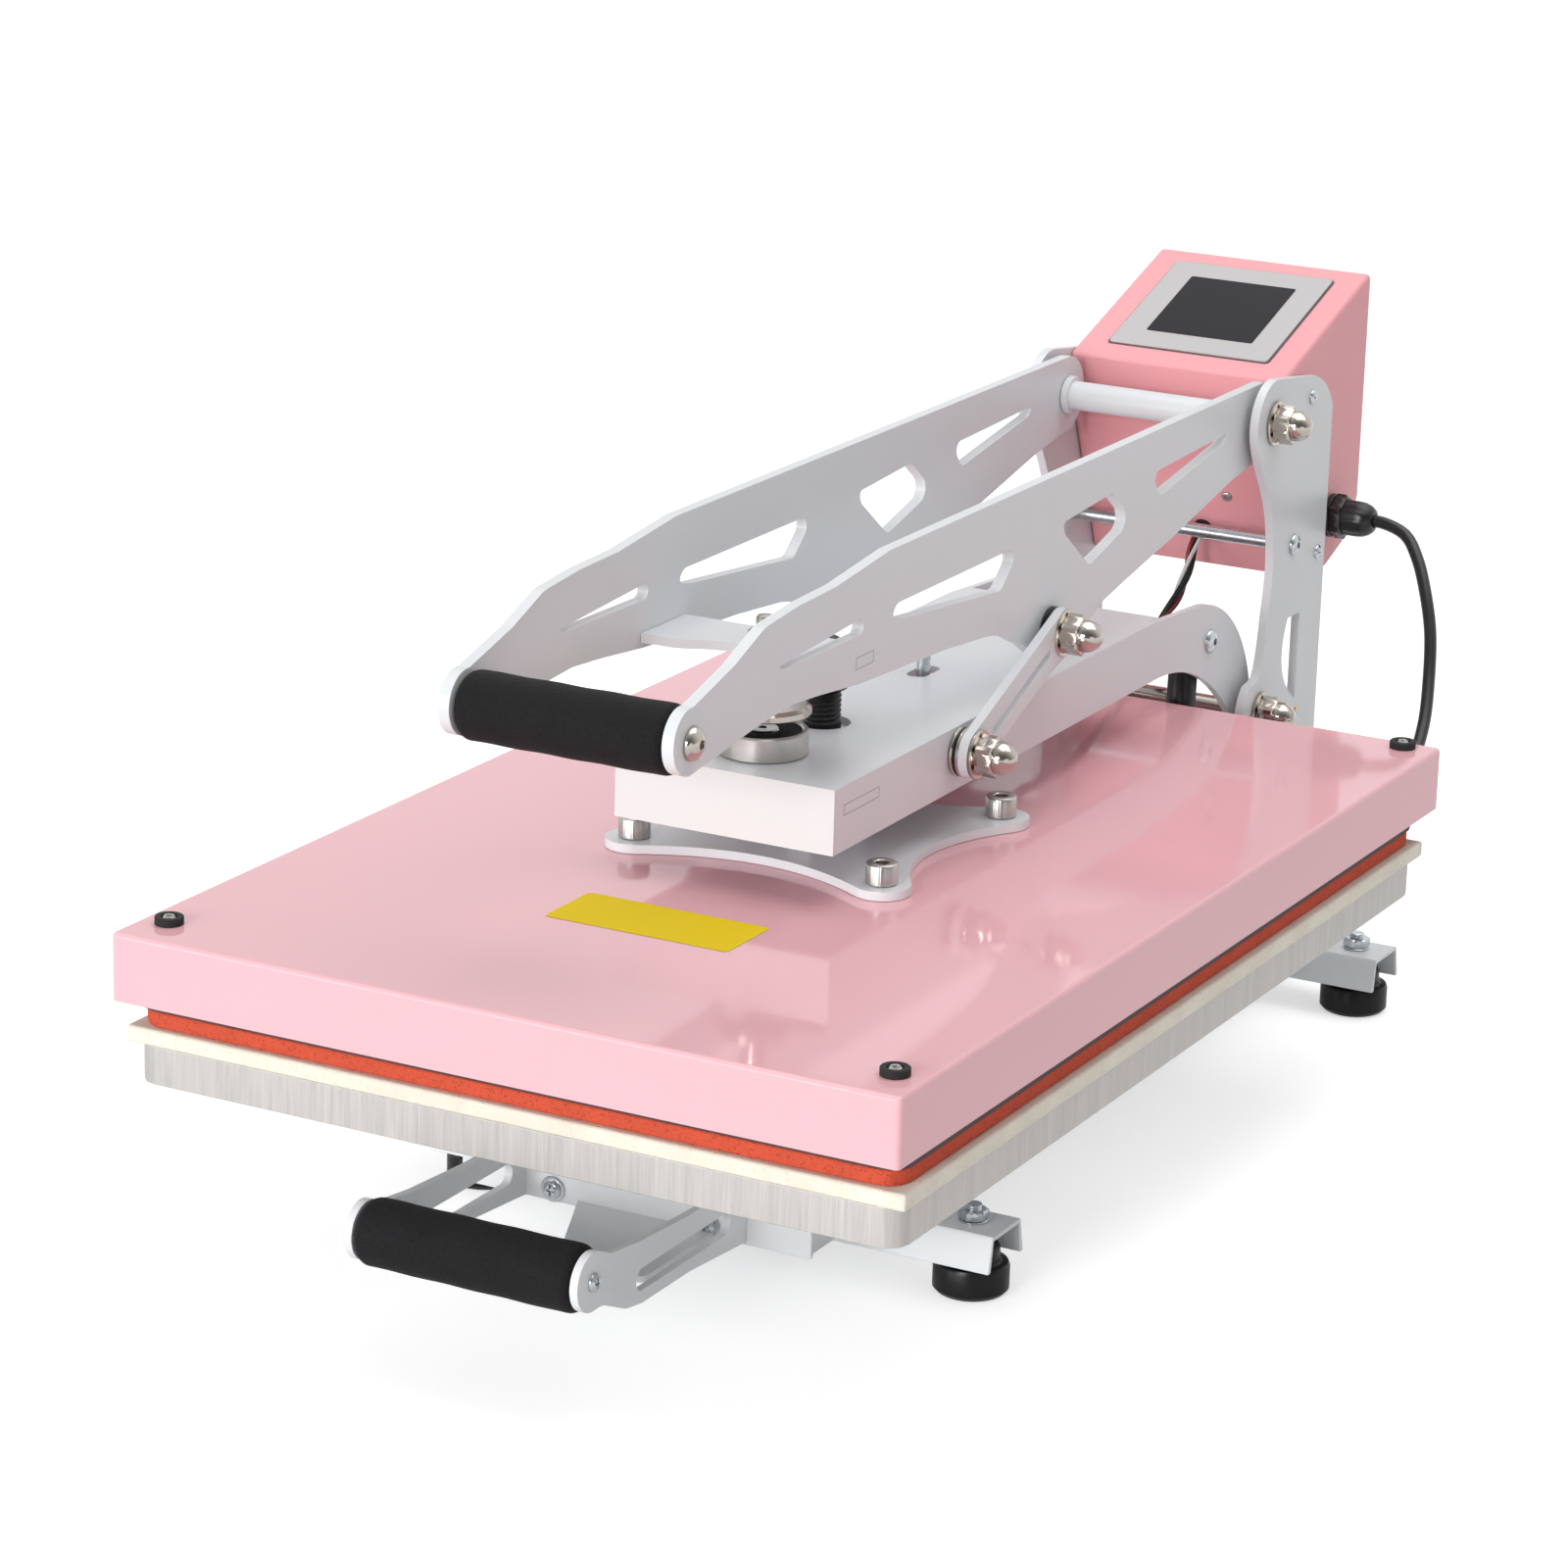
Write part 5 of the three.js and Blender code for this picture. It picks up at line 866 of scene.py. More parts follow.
for hand, side, axis in HANDS:
    arm = side_plate(arm_loops, side, ARM_INNER, ARM_OUTER)
    sheet_piece("arm_" + hand, [arm], "handle", "handle_arm_" + hand, edge=0.55)
    rings = [washer(spot(side * x, *LINK_HIGH), axis, 12.5, 1.75) for x in (61.02, 62.9)]
    piece("arm_spacer_" + hand, *merged(*rings), "steel_black", "handle", "white_paint")

    link = side_plate(link_loops, side, SIDE_INNER, SIDE_OUTER)
    sheet_piece("link_plate_" + hand, [link], hand + "_link", "link_" + hand)
    cap = merged(*cap_nut(side, 69.3, LINK_HIGH, 1.75))
    piece("link_nut_" + hand, *cap, "nickel_warm", hand + "_link", "nickel_steel")

    # Bolt of the link on the beam: hexagon head inside, washers under the link, acorn nut outside
    head, shank, near, far = [spot(side * x, *LINK_LOW) for x in (51.4, 55, 59.7, 63.1)]
    bolt = merged(
        nut(head, axis, 14.7, 3.7),
        rod(4.9, 0, 20, shank, axis, 40),
        washer(near, axis, 12.5, 1.8),
        washer(far, axis, 12.5, 1.6),
        *cap_nut(side, 70.3, LINK_LOW),
    )
    name = "link_bolt_" + hand
    piece("link_bolt_turned_" + hand, *bolt, "nickel_warm", "beam", "nickel_steel", name)
    dark = washer(spot(side * 61.6, *LINK_LOW), axis, 12.3, 1.4)
    piece("link_washer_dark_" + hand, *dark, "steel_black", "beam", "nickel_steel")

    wall = side_plate(upright_loops, side, SIDE_INNER, SIDE_OUTER)
    x0, x1 = sorted((side * FLANGE_INNER, side * SIDE_OUTER))
    top = UPRIGHT_FOOT + FLANGE_SHEET
    flange = block(x0, x1, UPRIGHT_FRONT, UPRIGHT_BACK, UPRIGHT_FOOT, top)
    name = "upright_" + hand
    sheet_piece("upright_sheet_" + hand, [wall, flange], "base", name, 0.6, united=True)


# Beam: an elbowed side at each hand, a top and a front, with windows for stem, magnet and stud
ARCH_Y, ARCH, HEEL = 570, 143, 16  # the arch's middle and radius, and the radius round the hinge
ELBOW, ELBOW_FRONT, ELBOW_DROP = 85.5, 73, 10.8  # radius, and where its middle lies off the hinge
arch_end = np.degrees(np.arccos((HINGE[0] - ARCH_Y - HEEL) / ARCH))
elbow_start = np.degrees(np.arcsin((8 + ELBOW_DROP) / ELBOW))
elbow_middle = (HINGE[0] - ELBOW_FRONT, HINGE[1] - ELBOW_DROP)
beam_side = np.concatenate(
    [
        [(BEAM_FRONT, BEAM_BOTTOM)],
        arc((ARCH_Y, BEAM_BOTTOM - ARCH), ARCH, 90, arch_end),
        arc(HINGE, HEEL, 180, 351),
        arc(elbow_middle, ELBOW, elbow_start, 85.86, 28),
        [(560, BEAM_TOP), (BEAM_FRONT, BEAM_TOP)],
    ]
)
beam_loops = [beam_side, ring(LINK_LOW, BOLT_BORE), ring(HINGE, AXLE_BORE)]
inner = BEAM_HALF - BEAM_SHEET
lap = inner + 0.5
shell = [
    *[side_plate(beam_loops, side, inner, BEAM_HALF) for side in (-1, 1)],
    block(-lap, lap, BEAM_FRONT, 575, BEAM_TOP - BEAM_SHEET, BEAM_TOP),
    block(-lap, lap, BEAM_FRONT, BEAM_FRONT + BEAM_SHEET, BEAM_BOTTOM, BEAM_TOP),
    rod(18, 0, 18, spot(0, PRESS_Y, 210)),
    ("cut", *rod(14, 0, 8, spot(0, PRESS_Y, 226.01), sides=64)),
    ("cut", *rod(9.55, 0, 40, spot(0, PRESS_Y, BEAM_FRONT), sides=64)),
    ("cut", *rod(4, 0, 20, spot(0, MAGNET_Y, 220), sides=32)),
    ("cut", *plate([long_hole((0, GUIDE_Y - 6.5), (0, GUIDE_Y + 6.5), 11)], 220, 240, "z")),
]
sheet_piece("beam_sheet", shell, "beam", "press_beam", 0.9, 3, united=True)
for hand, side, axis in HANDS:
    stud = merged(
        rod(4, 0, 8, spot(side * 52.3, *SPRING_HEAD), axis, 32),
        button_screw(spot(side * 59.45, *SPRING_HEAD), axis, 6.8, 3.2, 2.2),
    )
    piece("spring_stud_" + hand, *stud, "zinc_blue", "beam", "white_paint")

# Spider: four round lobes joined by hollow edges
CORNERS = ((1, -1), (1, 1), (-1, 1), (-1, -1))
LOBE, LOBE_TURN, PULL = 14.5, 75.6, 0.62  # a lobe's radius and half turn, and the edges' pull
lobes = []
for sx, sy in CORNERS:
    turn = np.degrees(np.arctan2(sy, sx))
    centre = (sx * SPIDER_X, PRESS_Y + sy * SPIDER_Y)
    lobes.append(arc(centre, LOBE, turn - LOBE_TURN, turn + LOBE_TURN))
pull_x, pull_y = SPIDER_X * PULL, SPIDER_Y * PULL
pulls = [(pull_x, PRESS_Y), (0, PRESS_Y + pull_y), (-pull_x, PRESS_Y), (0, PRESS_Y - pull_y)]
loop = []
for lobe, following, pull in zip(lobes, lobes[1:] + lobes[:1], pulls):
    loop += [lobe, curve([lobe[-1], pull, following[0]], 26)[1:-1]]
SCREWS = [(sx * SPIDER_X, PRESS_Y + sy * SPIDER_Y) for sx in (-1, 1) for sy in (-1, 1)]
spider_loops = [np.concatenate(loop), *[ring(p, 4.3) for p in SCREWS]]
spider = plate(spider_loops, SPIDER_BOTTOM, SPIDER_TOP, "z")
sheet_piece("spider_plate", [spider], "beam", "mount_spider", 0.7)

# Cross plate between the arms: hollow front edge
SPAN, CROSS_FRONT, CROSS_REAR, CROSS_HOLLOW = 54.7, 214.0, 257.0, 10
step, deep = (-SPAN * 0.75, CROSS_FRONT), CROSS_FRONT + CROSS_HOLLOW
left_half = curve([step, (-SPAN * 0.5, CROSS_FRONT), (-SPAN * 0.5, deep), (0, deep)], 16)[1:]
right_half = (left_half * (-1, 1))[::-1]
loop = [(-SPAN, CROSS_FRONT), step, *left_half, *right_half[1:], (SPAN * 0.75, CROSS_FRONT)]
loop += [(SPAN, CROSS_FRONT), (SPAN, CROSS_REAR), (-SPAN, CROSS_REAR)]
cross = plate([np.array(loop), ring((0, MAGNET_Y), 5.0)], 281.5, 286.0, "z")
sheet_piece("cross_sheet", [cross], "handle", "cross_plate", 0.6)


# Shafts and turned pieces; a profile's rows are (radius, distance along the axis)
def shaft(name, axle, collar_start, node_name):
    bar = [(5.7, -72), (6, -71.7), (6, 71.7), (5.7, 72)]
    parts = [turned(bar, spot(0, *axle), "x")]
    for _, side, axis in HANDS:
        collar = spot(side * collar_start, *axle)
        parts.append(washer(collar, axis, 10, 64.7 - collar_start))
        parts += cap_nut(side, 70.3, axle)
    piece(name, *merged(*parts), "nickel_warm", "base", "nickel_steel", node_name)


shaft("hinge_axle", HINGE, 59.7, "hinge_shaft")
shaft("handle_axle", HANDLE_PIVOT, 61.3, "handle_shaft")

half = [(6.3, -SPAN), (9.9, -SPAN), (10.5, 0.6 - SPAN), (10.5, 3.4 - SPAN), (9.9, 4 - SPAN)]
half.append((8, 4 - SPAN))
rows = half + [(r, -x) for r, x in half[::-1]]
sleeve = turned(rows, spot(0, *HANDLE_PIVOT), "x", 64)
piece("cross_sleeve", *sleeve, "sheet_white", "handle", "white_paint", "cross_tube")

bar = [(3.7, -70.8), (4.0, -70.5), (4.0, 70.5), (3.7, 70.8)]
parts = [turned(bar, spot(0, *SPACER), "x")]
parts += [button_screw(spot(side * 70.2, *SPACER), axis, 6, 3.0, 2.0) for _, side, axis in HANDS]
piece("spacer_bar", *merged(*parts), "zinc_blue", "base", "zinc_steel", "spacer_rod")

height = BEAM_BOTTOM - SPIDER_TOP - 0.6
rows = [(9.55, 0), (25.5, 0), (26.5, 1), (26.5, height - 1), (25.5, height), (9.55, height)]
hub = turned(rows, spot(0, PRESS_Y, SPIDER_TOP + 0.3), sides=96)
piece("hub_turned", *hub, "zinc_blue", "beam", "zinc_steel", "pressure_hub")

# Electromagnet: satin pot with a rolled rim, black potting and the core
magnet = spot(0, MAGNET_Y, BEAM_TOP + 0.3)
pot = [(CORE, 0), (21.8, 0), (22.35, 0.6), (22.35, 11.2), (21.6, 12), (19.9, 12), (19.15, 11.2)]
pot += [(19.15, 9.4), (CORE, 9.4)]
potting = [(8.05, 9.45), (19.1, 9.45), (19.1, 10.1), (18.4, 9.9), (8.6, 9.9), (8.05, 10.1)]
core = [(CORE, 9.5), (8, 9.5), (8, 11.4), (7.4, 12), (2.6, 12), (2.2, 11.4), (CORE, 11.2)]
for name, rows, sides, look, node_name in (
    ("magnet_pot", pot, 96, "steel_satin", "electromagnet"),
    ("magnet_potting", potting, 96, "plastic_black", None),
    ("magnet_core", core, 64, "chrome_bright", None),
):
    piece(name, *turned(rows, magnet, "z", sides), look, "beam", "chrome_steel", node_name)

# Armature: bevelled disc, post, lock nut and the thread's end
disc = [(CORE, 0), (22.9, 0), (23.5, 0.6), (23.5, 3.2), (21.8, 5), (7.6, 5), (7, 5.6), (7, 30.6)]
disc += [(6.4, 30.9), (4.7, 30.9), (4.7, 46.6), (4.0, 47.6), (CORE, 48)]
lock = nut(spot(0, MAGNET_Y, 286.3), "z", 14.7, 5)
solid = merged(turned(disc, spot(0, MAGNET_Y, 250.3), sides=96), lock)
piece("armature_disc", *solid, "nickel_warm", "handle", "nickel_steel", "armature")

base = spot(0, PRESS_Y, 0)
stem = [(9.0, SPIDER_TOP + 0.7), (9.25, SPIDER_TOP + 1.1), (9.25, 231), (8.6, 231.6)]
tip = [(7.9, 265), (8.2, 266), (8.2, 271.8), (7.2, 272.9), (CORE, 273)]
screw = merged(
    turned(stem, base, sides=64),
    thread(9.25, 230.5, 266.0, 2.5, base, 1.0, 64),
    turned(tip, base, sides=64),
    nut(spot(0, PRESS_Y, 248), "z", 24.25, 6),
    washer(spot(0, PRESS_Y, 254.2), "z", 11.8, 1.6),
)
piece("pressure_stem", *screw, "steel_black", "adjuster", "black_steel", "pressure_screw")

base = spot(0, GUIDE_Y, SPIDER_BOTTOM)
stud = merged(
    turned([(8.4, 0), (9, 0.6), (9, 3.6), (8.4, 4)], base, sides=64),
    turned([(3.5, 3.9), (3.5, 87.5), (3.0, 88.1), (CORE, 88.1)], base, sides=40),
)
piece("guide_pin", *stud, "zinc_blue", "beam", "zinc_steel", "guide_stud")

for index, (x, y) in enumerate(SCREWS, 1):
    screw = cap_screw(spot(x, y, SPIDER_TOP + 0.3))
    name = f"cap_screw_{index}"
    piece(f"socket_screw_{index}", *screw, "steel_satin", "beam", "stainless_steel", name)

# Feet: rubber puck with a moulded ring, stud and two thin nuts
PUCK = [
    (CORE, 0), (15.6, 0), (16.6, 0.5), (18.5, 2.6), (18.5, 13.6), (17.6, 15.6), (14.6, 15.9),
    (13.7, 16.8), (13.5, 23), (12.8, 24), (CORE, 24),
]
for row, y in (("front", 209), ("rear", 689.4)):
    for hand, side, _ in HANDS:
        place, x = f"{row}_{hand}", side * 136
        puck = turned(PUCK, spot(x, y, -LIFT), sides=72)
        piece("foot_rubber_" + place, *puck, "foot_rubber", "base", "black_rubber", "foot_" + place)
        metal = merged(
            rod(4.0, 14.5, 27.5, spot(x, y, 0), sides=32),
            thread(4.0, 27.3, 36.0, 1.25, spot(x, y, 0), 0.5, 32),
            nut(spot(x, y, 19.2), "z", 13, 5),
            washer(spot(x, y, 27.1), "z", 7.2, 1.0),
            nut(spot(x, y, 28.2), "z", 13, 5),
        )
        piece("foot_stud_" + place, *metal, "zinc_blue", "base", "zinc_steel")

# Grip bolt and the two foam grips
parts = [rod(5, -61.6, 61.6, spot(0, *GRIP), "x", 40)]
parts += [button_screw(spot(side * 61.3, *GRIP), axis, 8, 5, 2.5) for _, side, axis in HANDS]
solid = merged(*parts)
piece("grip_button_bolt", *solid, "nickel_warm", "handle", "nickel_steel", "grip_bolt")


def foam(name, half, radius, bore, axle, body, node_name):
    """A foam sleeve: rounded ends of 5 mm, and a skin that swells a little unevenly: by 0.16 mm
    times the sine of three times the turn and a slow sine along the length."""
    turn = np.linspace(0, np.pi / 2, 8)
    bend = zip(radius - 5 + 5 * np.sin(turn), -half + 5 - 5 * np.cos(turn))
    left = [(bore, -half), *bend]
    middle = [(radius, x) for x in np.linspace(-half + 6, half - 6, 60)]
    rows = left + middle + [(r, -x) for r, x in left[::-1]] + [(bore, half - 0.01)]

    def swell(angle, r):
        waves = np.sin(3 * angle + 0.7) * np.sin(np.arange(len(r)) * 0.35)[:, None]
        return r + np.where(r > radius - 1, 0.16, 0) * waves

    sleeve = turned(rows, spot(0, *axle), "x", 96, swell)
    piece(name, *sleeve, "grip_foam", body, "black_foam", node_name)


foam("handle_foam", SPAN, 16.4, 5.3, GRIP, "handle", "handle_grip")
foam("drawer_foam", 56.7, 15.9, 6.3, DRAWER_GRIP, "drawer", "drawer_grip")


# Gas springs: rod with its eye from the foot up, tube with its eye from the head down
EYE_END = [(8.3, -7), (9, -6.3), (9, 6.3), (8.3, 7)]
EYE = [(4.3, -7), *EYE_END, (4.3, 7), (4.3, -7)]
reach = np.array(SPRING_HEAD) - np.array(SPRING_FOOT)
length = float(np.linalg.norm(reach))
lean = reach / length
spring_axis = (Vector((0, *lean)), X, Vector((0, lean[1], -lean[0])))
low, top = length - 101.4, length - 5.4  # both ends of the tube, from the foot
tube_rows = [
    (4.3, low), (6.4, low), (7.4, low + 0.6), (8, low + 1.6), (8, low + 9), (7.6, low + 9.6),
    (7.6, low + 10.6), (8, low + 11.2), (8, top - 2), (7, top), (CORE, top),
]
for hand, side, _ in HANDS:
    foot, head = spot(side * SPRING_X, *SPRING_FOOT), spot(side * SPRING_X, *SPRING_HEAD)
    chromed = merged(turned(EYE, foot, "x"), rod(4, 8, length - 18, foot, spring_axis, 40))
    name = "gas_rod_" + hand
    body = hand + "_spring_rod"
    piece("gas_rod_chromed_" + hand, *chromed, "chrome_bright", body, "chrome_steel", name)
    barrel = merged(turned(tube_rows, foot, spring_axis, 56), turned(EYE_END, head, "x"))
    name = "gas_cylinder_" + hand
    body = hand + "_spring_body"
    piece("gas_tube_" + hand, *barrel, "steel_black", body, "black_steel", name)


# Control box details
def ribbed(angle, r):
    """Twelve ribs and twelve grooves on the wide part of the gland's cap."""
    return r * (1 + np.where(r > 8.5, 0.018, 0) * np.sign(np.cos(12 * angle)))


GLAND = (791, 243)
seat = [(3.9, -4), (9, -4), (9, 0), (11.8, 0), (12.4, 0.6), (12.4, 2.4), (11.8, 3)]
cap = [(10, 9.5), (10, 17), (9.6, 20.5), (8.4, 24), (6.4, 26.4), (4.7, 27), (3.9, 27), (3.9, 9.5)]
gland = merged(
    turned(seat, spot(65.0, *GLAND), "x", 72),
    nut(spot(67.6, *GLAND), "x", 22.5, 7.4),
    turned(cap, spot(65.0, *GLAND), "x", 72, ribbed),
)
piece("gland_ribbed", *gland, "cable_black", "base", "black_plastic", "cable_gland")
rows = [(3.6, 0), (6.5, 0), (6.9, 0.5), (6.4, 2.2), (5.2, 2.8), (3.6, 2.8), (3.6, 0)]
grommet = turned(rows, spot(148, 617.55, 148.4), "y")
piece("cover_grommet", *grommet, "cable_black", "beam", "black_rubber")

# The box's front wall leans: WALL_TOP and WALL_LOW are its Y and Z at either end
WALL_TOP, WALL_LOW = (722.1, 294.5), (755.5, 214)
wall_out = Vector((0, WALL_LOW[1] - WALL_TOP[1], WALL_TOP[0] - WALL_LOW[0])).normalized()
wall_axis = (wall_out, X, wall_out.cross(X))


def on_wall(x, z):
    """A place on the control box's leaning front wall."""
    share = (WALL_TOP[1] - z) / (WALL_TOP[1] - WALL_LOW[1])
    return spot(x, WALL_TOP[0] + share * (WALL_LOW[0] - WALL_TOP[0]), z)


rows = [(3.3, 0), (5.4, 0), (5.7, 0.5), (5.0, 1.8), (3.3, 2.0), (3.3, 0)]
grommet = turned(rows, on_wall(7, 237), wall_axis, 40)
piece("lead_grommet", *grommet, "cable_black", "base", "black_rubber")
for name, solid in (
    ("box_screw_left", button_screw(on_wall(-26, 261), wall_axis, 3.2, 1.6, 0.9)),
    ("box_screw_right", button_screw(on_wall(24, 259), wall_axis, 3.2, 1.6, 0.9)),
    ("box_nut_right", nut(on_wall(25, 273), wall_axis, 5.5, 2.2)),
):
    piece(name, *solid, "steel_satin", "base", "pink_paint")
for hand, side, axis in HANDS:
    x = side * (SIDE_OUTER - 0.05)
    for index, (y, z, r) in enumerate(((741, 321, 4.2), (761, 228.7, 4.0)), 1):
        head = cross_screw(spot(x, y, z), axis, r, r * 0.55)
        piece(f"upright_screw_{hand}_{index}", *head, "zinc_blue", "base", "white_paint")
    rivets = [dome(spot(x, y, z), axis, 1.7, 0.9, 0.1) for y, z in ((743, 141.5), (751, 127.6))]
    piece("upright_rivets_" + hand, *merged(*rivets), "brass_rivet", "base", "white_paint")


# Straight CAD sheets and blocks: finish, radius of the edges, its steps, radius of the outer folds
for look, width, segments, fold, names in (
    ("box_pink", 0.5, 4, 2.4, ["control_box"]),
    ("box_pink", 0.4, 2, 0.0, ["box_base"]),
    ("sheet_white", 0.8, 2, 0.0, ["base_tray"]),
    ("sheet_white", 0.6, 4, 2.4, ["front_leg", "rear_leg"]),
    ("sheet_white", 0.8, 2, 0.0, ["drawer_carriage"]),
    ("zinc_blue", 0.5, 2, 0.0, ["spring_bracket", "slide_rail_left", "slide_rail_right"]),
    ("zinc_blue", 0.5, 2, 0.0, ["slide_runner_left", "slide_runner_right"]),
    ("brushed_edge", 0.5, 2, 0.0, ["lower_platen"]),
    ("cast_plate", 0.5, 2, 0.0, ["heat_platen"]),
    ("felt_cream", 1.6, 3, 0.0, ["heat_mat"]),
    ("sponge_red", 1.0, 3, 0.0, ["silicone_pad"]),
    ("fibre_white", 2.0, 2, 0.0, ["insulation_blanket"]),
    ("bezel_grey", 0.3, 2, 0.0, ["screen_bezel"]),
    ("plastic_black", 0.6, 2, 0.0, ["power_inlet", "power_switch"]),
):
    for name in names:
        rounded_copy(name, look, width, segments, fold)

# Cover: a folded shell. Each row of corners is the plan's rounded outline drawn in by inset at a
# height; the rows run from the inside of the top down to the rim and up again outside, and both
# folds are quarter circles.
FRONT, REAR, SIDE = -11.8, 617.5, 204.65
RIM, SHEET, FOLD, PLAN_BEND = 138.2, 1.5, 2.2, 3.0
turn = np.linspace(0, np.pi / 2, 7)
fold = np.stack([FOLD * (1 - np.cos(turn)), COVER_TOP - FOLD + FOLD * np.sin(turn)], 1)
ceiling = COVER_TOP - SHEET
inside = [(SHEET + FOLD, ceiling), (SHEET + 0.2, ceiling - 0.2), (SHEET, ceiling - FOLD)]
rim = [(SHEET, RIM + 0.4), (SHEET - 0.4, RIM), (0.4, RIM), (0, RIM + 0.4)]
rows = [*inside, *rim, *fold]
corners = []
for inset, height in rows:
    x, front, rear = SIDE - inset, FRONT + inset, REAR - inset
    plan = [(-x, front), (x, front), (x, rear), (-x, rear)]
    loop = rounded(plan, max(PLAN_BEND - inset, 0.6)) * MM + (0, SHIFT)
    corners.append(np.column_stack([loop, np.full(len(loop), (height + LIFT) * MM)]))
shell = np.concatenate(corners), closed_faces(len(rows), len(loop))
cover = piece("cover_shell", *shell, "cover_pink", "beam", "pink_paint", "platen_cover")
flatten(cover)

# Corner screws of the cover, sunk in black cups
CUP = [(3.9, 0), (6.6, 0), (6.9, 0.3), (6.9, 3.5), (6.4, 4), (4.4, 4), (3.9, 3.5), (3.9, 0)]
for index, (x, y) in enumerate(((-189, 13), (189, 13), (-187, 606), (187, 606)), 1):
    cup = turned(CUP, spot(x, y, COVER_TOP - 0.05), sides=56)
    piece(f"cover_cup_{index}", *cup, "plastic_black", "beam", "pink_paint")
    head = cross_screw(spot(x, y, COVER_TOP), "z", 4.2, 4.1)
    piece(f"cover_screw_{index}", *head, "steel_satin", "beam", "pink_paint")

# Blank sticker in front of the spider
loop = rounded([(-49, 117), (49, 117), (49, 159), (-49, 159)], 2.5)
sticker = plate([loop], COVER_TOP + 0.02, COVER_TOP + 0.22, "z")
look, slot = "sticker_yellow", "pink_paint"
sheet_piece("blank_sticker", [sticker], "beam", edge=0, look=look)

# Sloping top of the box, from its lower to its upper edge
slope_low, slope_high = np.array([712.5, 334.75]), np.array([832.0, 375.0])
slope = (slope_high - slope_low) / np.linalg.norm(slope_high - slope_low)
slope_middle = (slope_low + slope_high) / 2
slope_out = np.array([-slope[1], slope[0]])


def on_slope(points, lift):
    """Flat points (x, along the slope) laid on the sloping top of the box, lifted off it."""
    flat = slope_middle + points[:, 1:2] * slope + slope_out * lift
    return np.column_stack([points[:, 0], flat]) * MM + (0, SHIFT, LIFT * MM)


# Dark glass, over the inner edge of the bezel
squares = [(square(32.0, 1.2), 1.2), (square(32.0, 1.2), 1.75), (square(31.7, 1.2), 1.95)]
corners = np.concatenate([on_slope(*s) for s in squares])
faces = closed_faces(3, len(squares[0][0]))
piece("screen_glass", corners, faces, "screen_dark", "base", "dark_glass", "touch_screen")

# Dark line round the bezel: a ring of four loops, outside low and high, inside high and low
outer, inner = square(49.0, 3.0), square(48.1, 3.0)
line = [on_slope(*pair) for pair in ((outer, 0.05), (outer, 0.35), (inner, 0.35), (inner, 0.05))]
faces = grid_faces(4, len(outer), wrap_rows=True)
line = np.concatenate(line)
piece("bezel_seam", line, faces, "bezel_line", "base", "grey_plastic", smooth=False)

# Scribed outlines on the sides of the beam and of the arms
for hand, side, _ in HANDS:
    for part, body, face, y0, y1, z0, z1 in (
        ("beam", "beam", BEAM_HALF, 210, 246.5, 215, 220.5),
        ("arm", "handle", ARM_OUTER, 214.5, 232.5, 285.5, 291.5),
    ):
        frames = []
        for d in (0, 0.4):
            corners = [(y0 + d, z0 + d), (y1 - d, z0 + d), (y1 - d, z1 - d), (y0 + d, z1 - d)]
            frames.append(np.array(corners))
        mark = side_plate(frames, side, face + 0.01, face + 0.07)
        name = f"{part}_mark_{hand}"
        piece(name, *mark, "scribe_grey", body, "white_paint", smooth=False)

# Drawer bracket: slotted side plates with a round nose, the web behind them and the tongue below.
# Corners are shares of the reach behind the grip's axis and of the grip's drop below the platen.
BRACKET_EDGE = [
    (0.11, 0.77), (0.28, 0.85), (0.61, 0.93), (1, 0.95), (1, 1.81), (0.62, 1.7), (0.31, 1.7),
    (0.21, 1.64), (0.06, 1.38),
]
NOSE, PLATEN_BOTTOM, WEB_BACK, BRACKET_SHEET = 14.0, 96.0, 120.7, 3


def bracket_place(share):
    along, down = share
    y = DRAWER_GRIP[0] + along * (WEB_BACK - DRAWER_GRIP[0])
    return y, PLATEN_BOTTOM - down * (PLATEN_BOTTOM - DRAWER_GRIP[1])


outline = [(*bracket_place(s), NOSE if s[0] < 1 else 0) for s in BRACKET_EDGE]
outline += [(*p, 0) for p in arc(DRAWER_GRIP, NOSE, 268, 72, 26)]
slot_hole = long_hole(bracket_place((0.31, 1.38)), bracket_place((0.85, 1.38)), 11)
parts = [side_plate([rounded(outline), slot_hole], side, 57.0, ARM_OUTER) for side in (-1, 1)]
low, high = bracket_place((1, 1.81))[1], bracket_place((1, 0.95))[1]
web_front = WEB_BACK - BRACKET_SHEET
parts.append(block(-57.5, 57.5, web_front, WEB_BACK, low, high))
tongue = [(-28.5, WEB_BACK), (-28.5, web_front, 4), (0, 50.7, 4), (45.6, 50.7, 4), (45.6, WEB_BACK)]
parts.append(plate([rounded(tongue)], low, low + BRACKET_SHEET, "z"))
parts.append(rod(6, -57.2, 57.2, spot(0, *DRAWER_GRIP), "x"))
sheet_piece("drawer_bracket_sheet", parts, "drawer", "drawer_bracket", united=True)
for hand, side, axis in HANDS:
    head = cross_screw(spot(side * 61, *DRAWER_GRIP), axis, 4.6, 2.6)
    piece("drawer_grip_screw_" + hand, *head, "zinc_blue", "drawer", "zinc_steel")
    collar = washer(spot(side * 42, web_front, 36), "-y", 6.5, 1.0)
    head = merged(collar, cross_screw(spot(side * 42, web_front - 0.9, 36), "-y", 4.6, 2.6))
    piece("drawer_web_screw_" + hand, *head, "zinc_blue", "drawer", "zinc_steel")


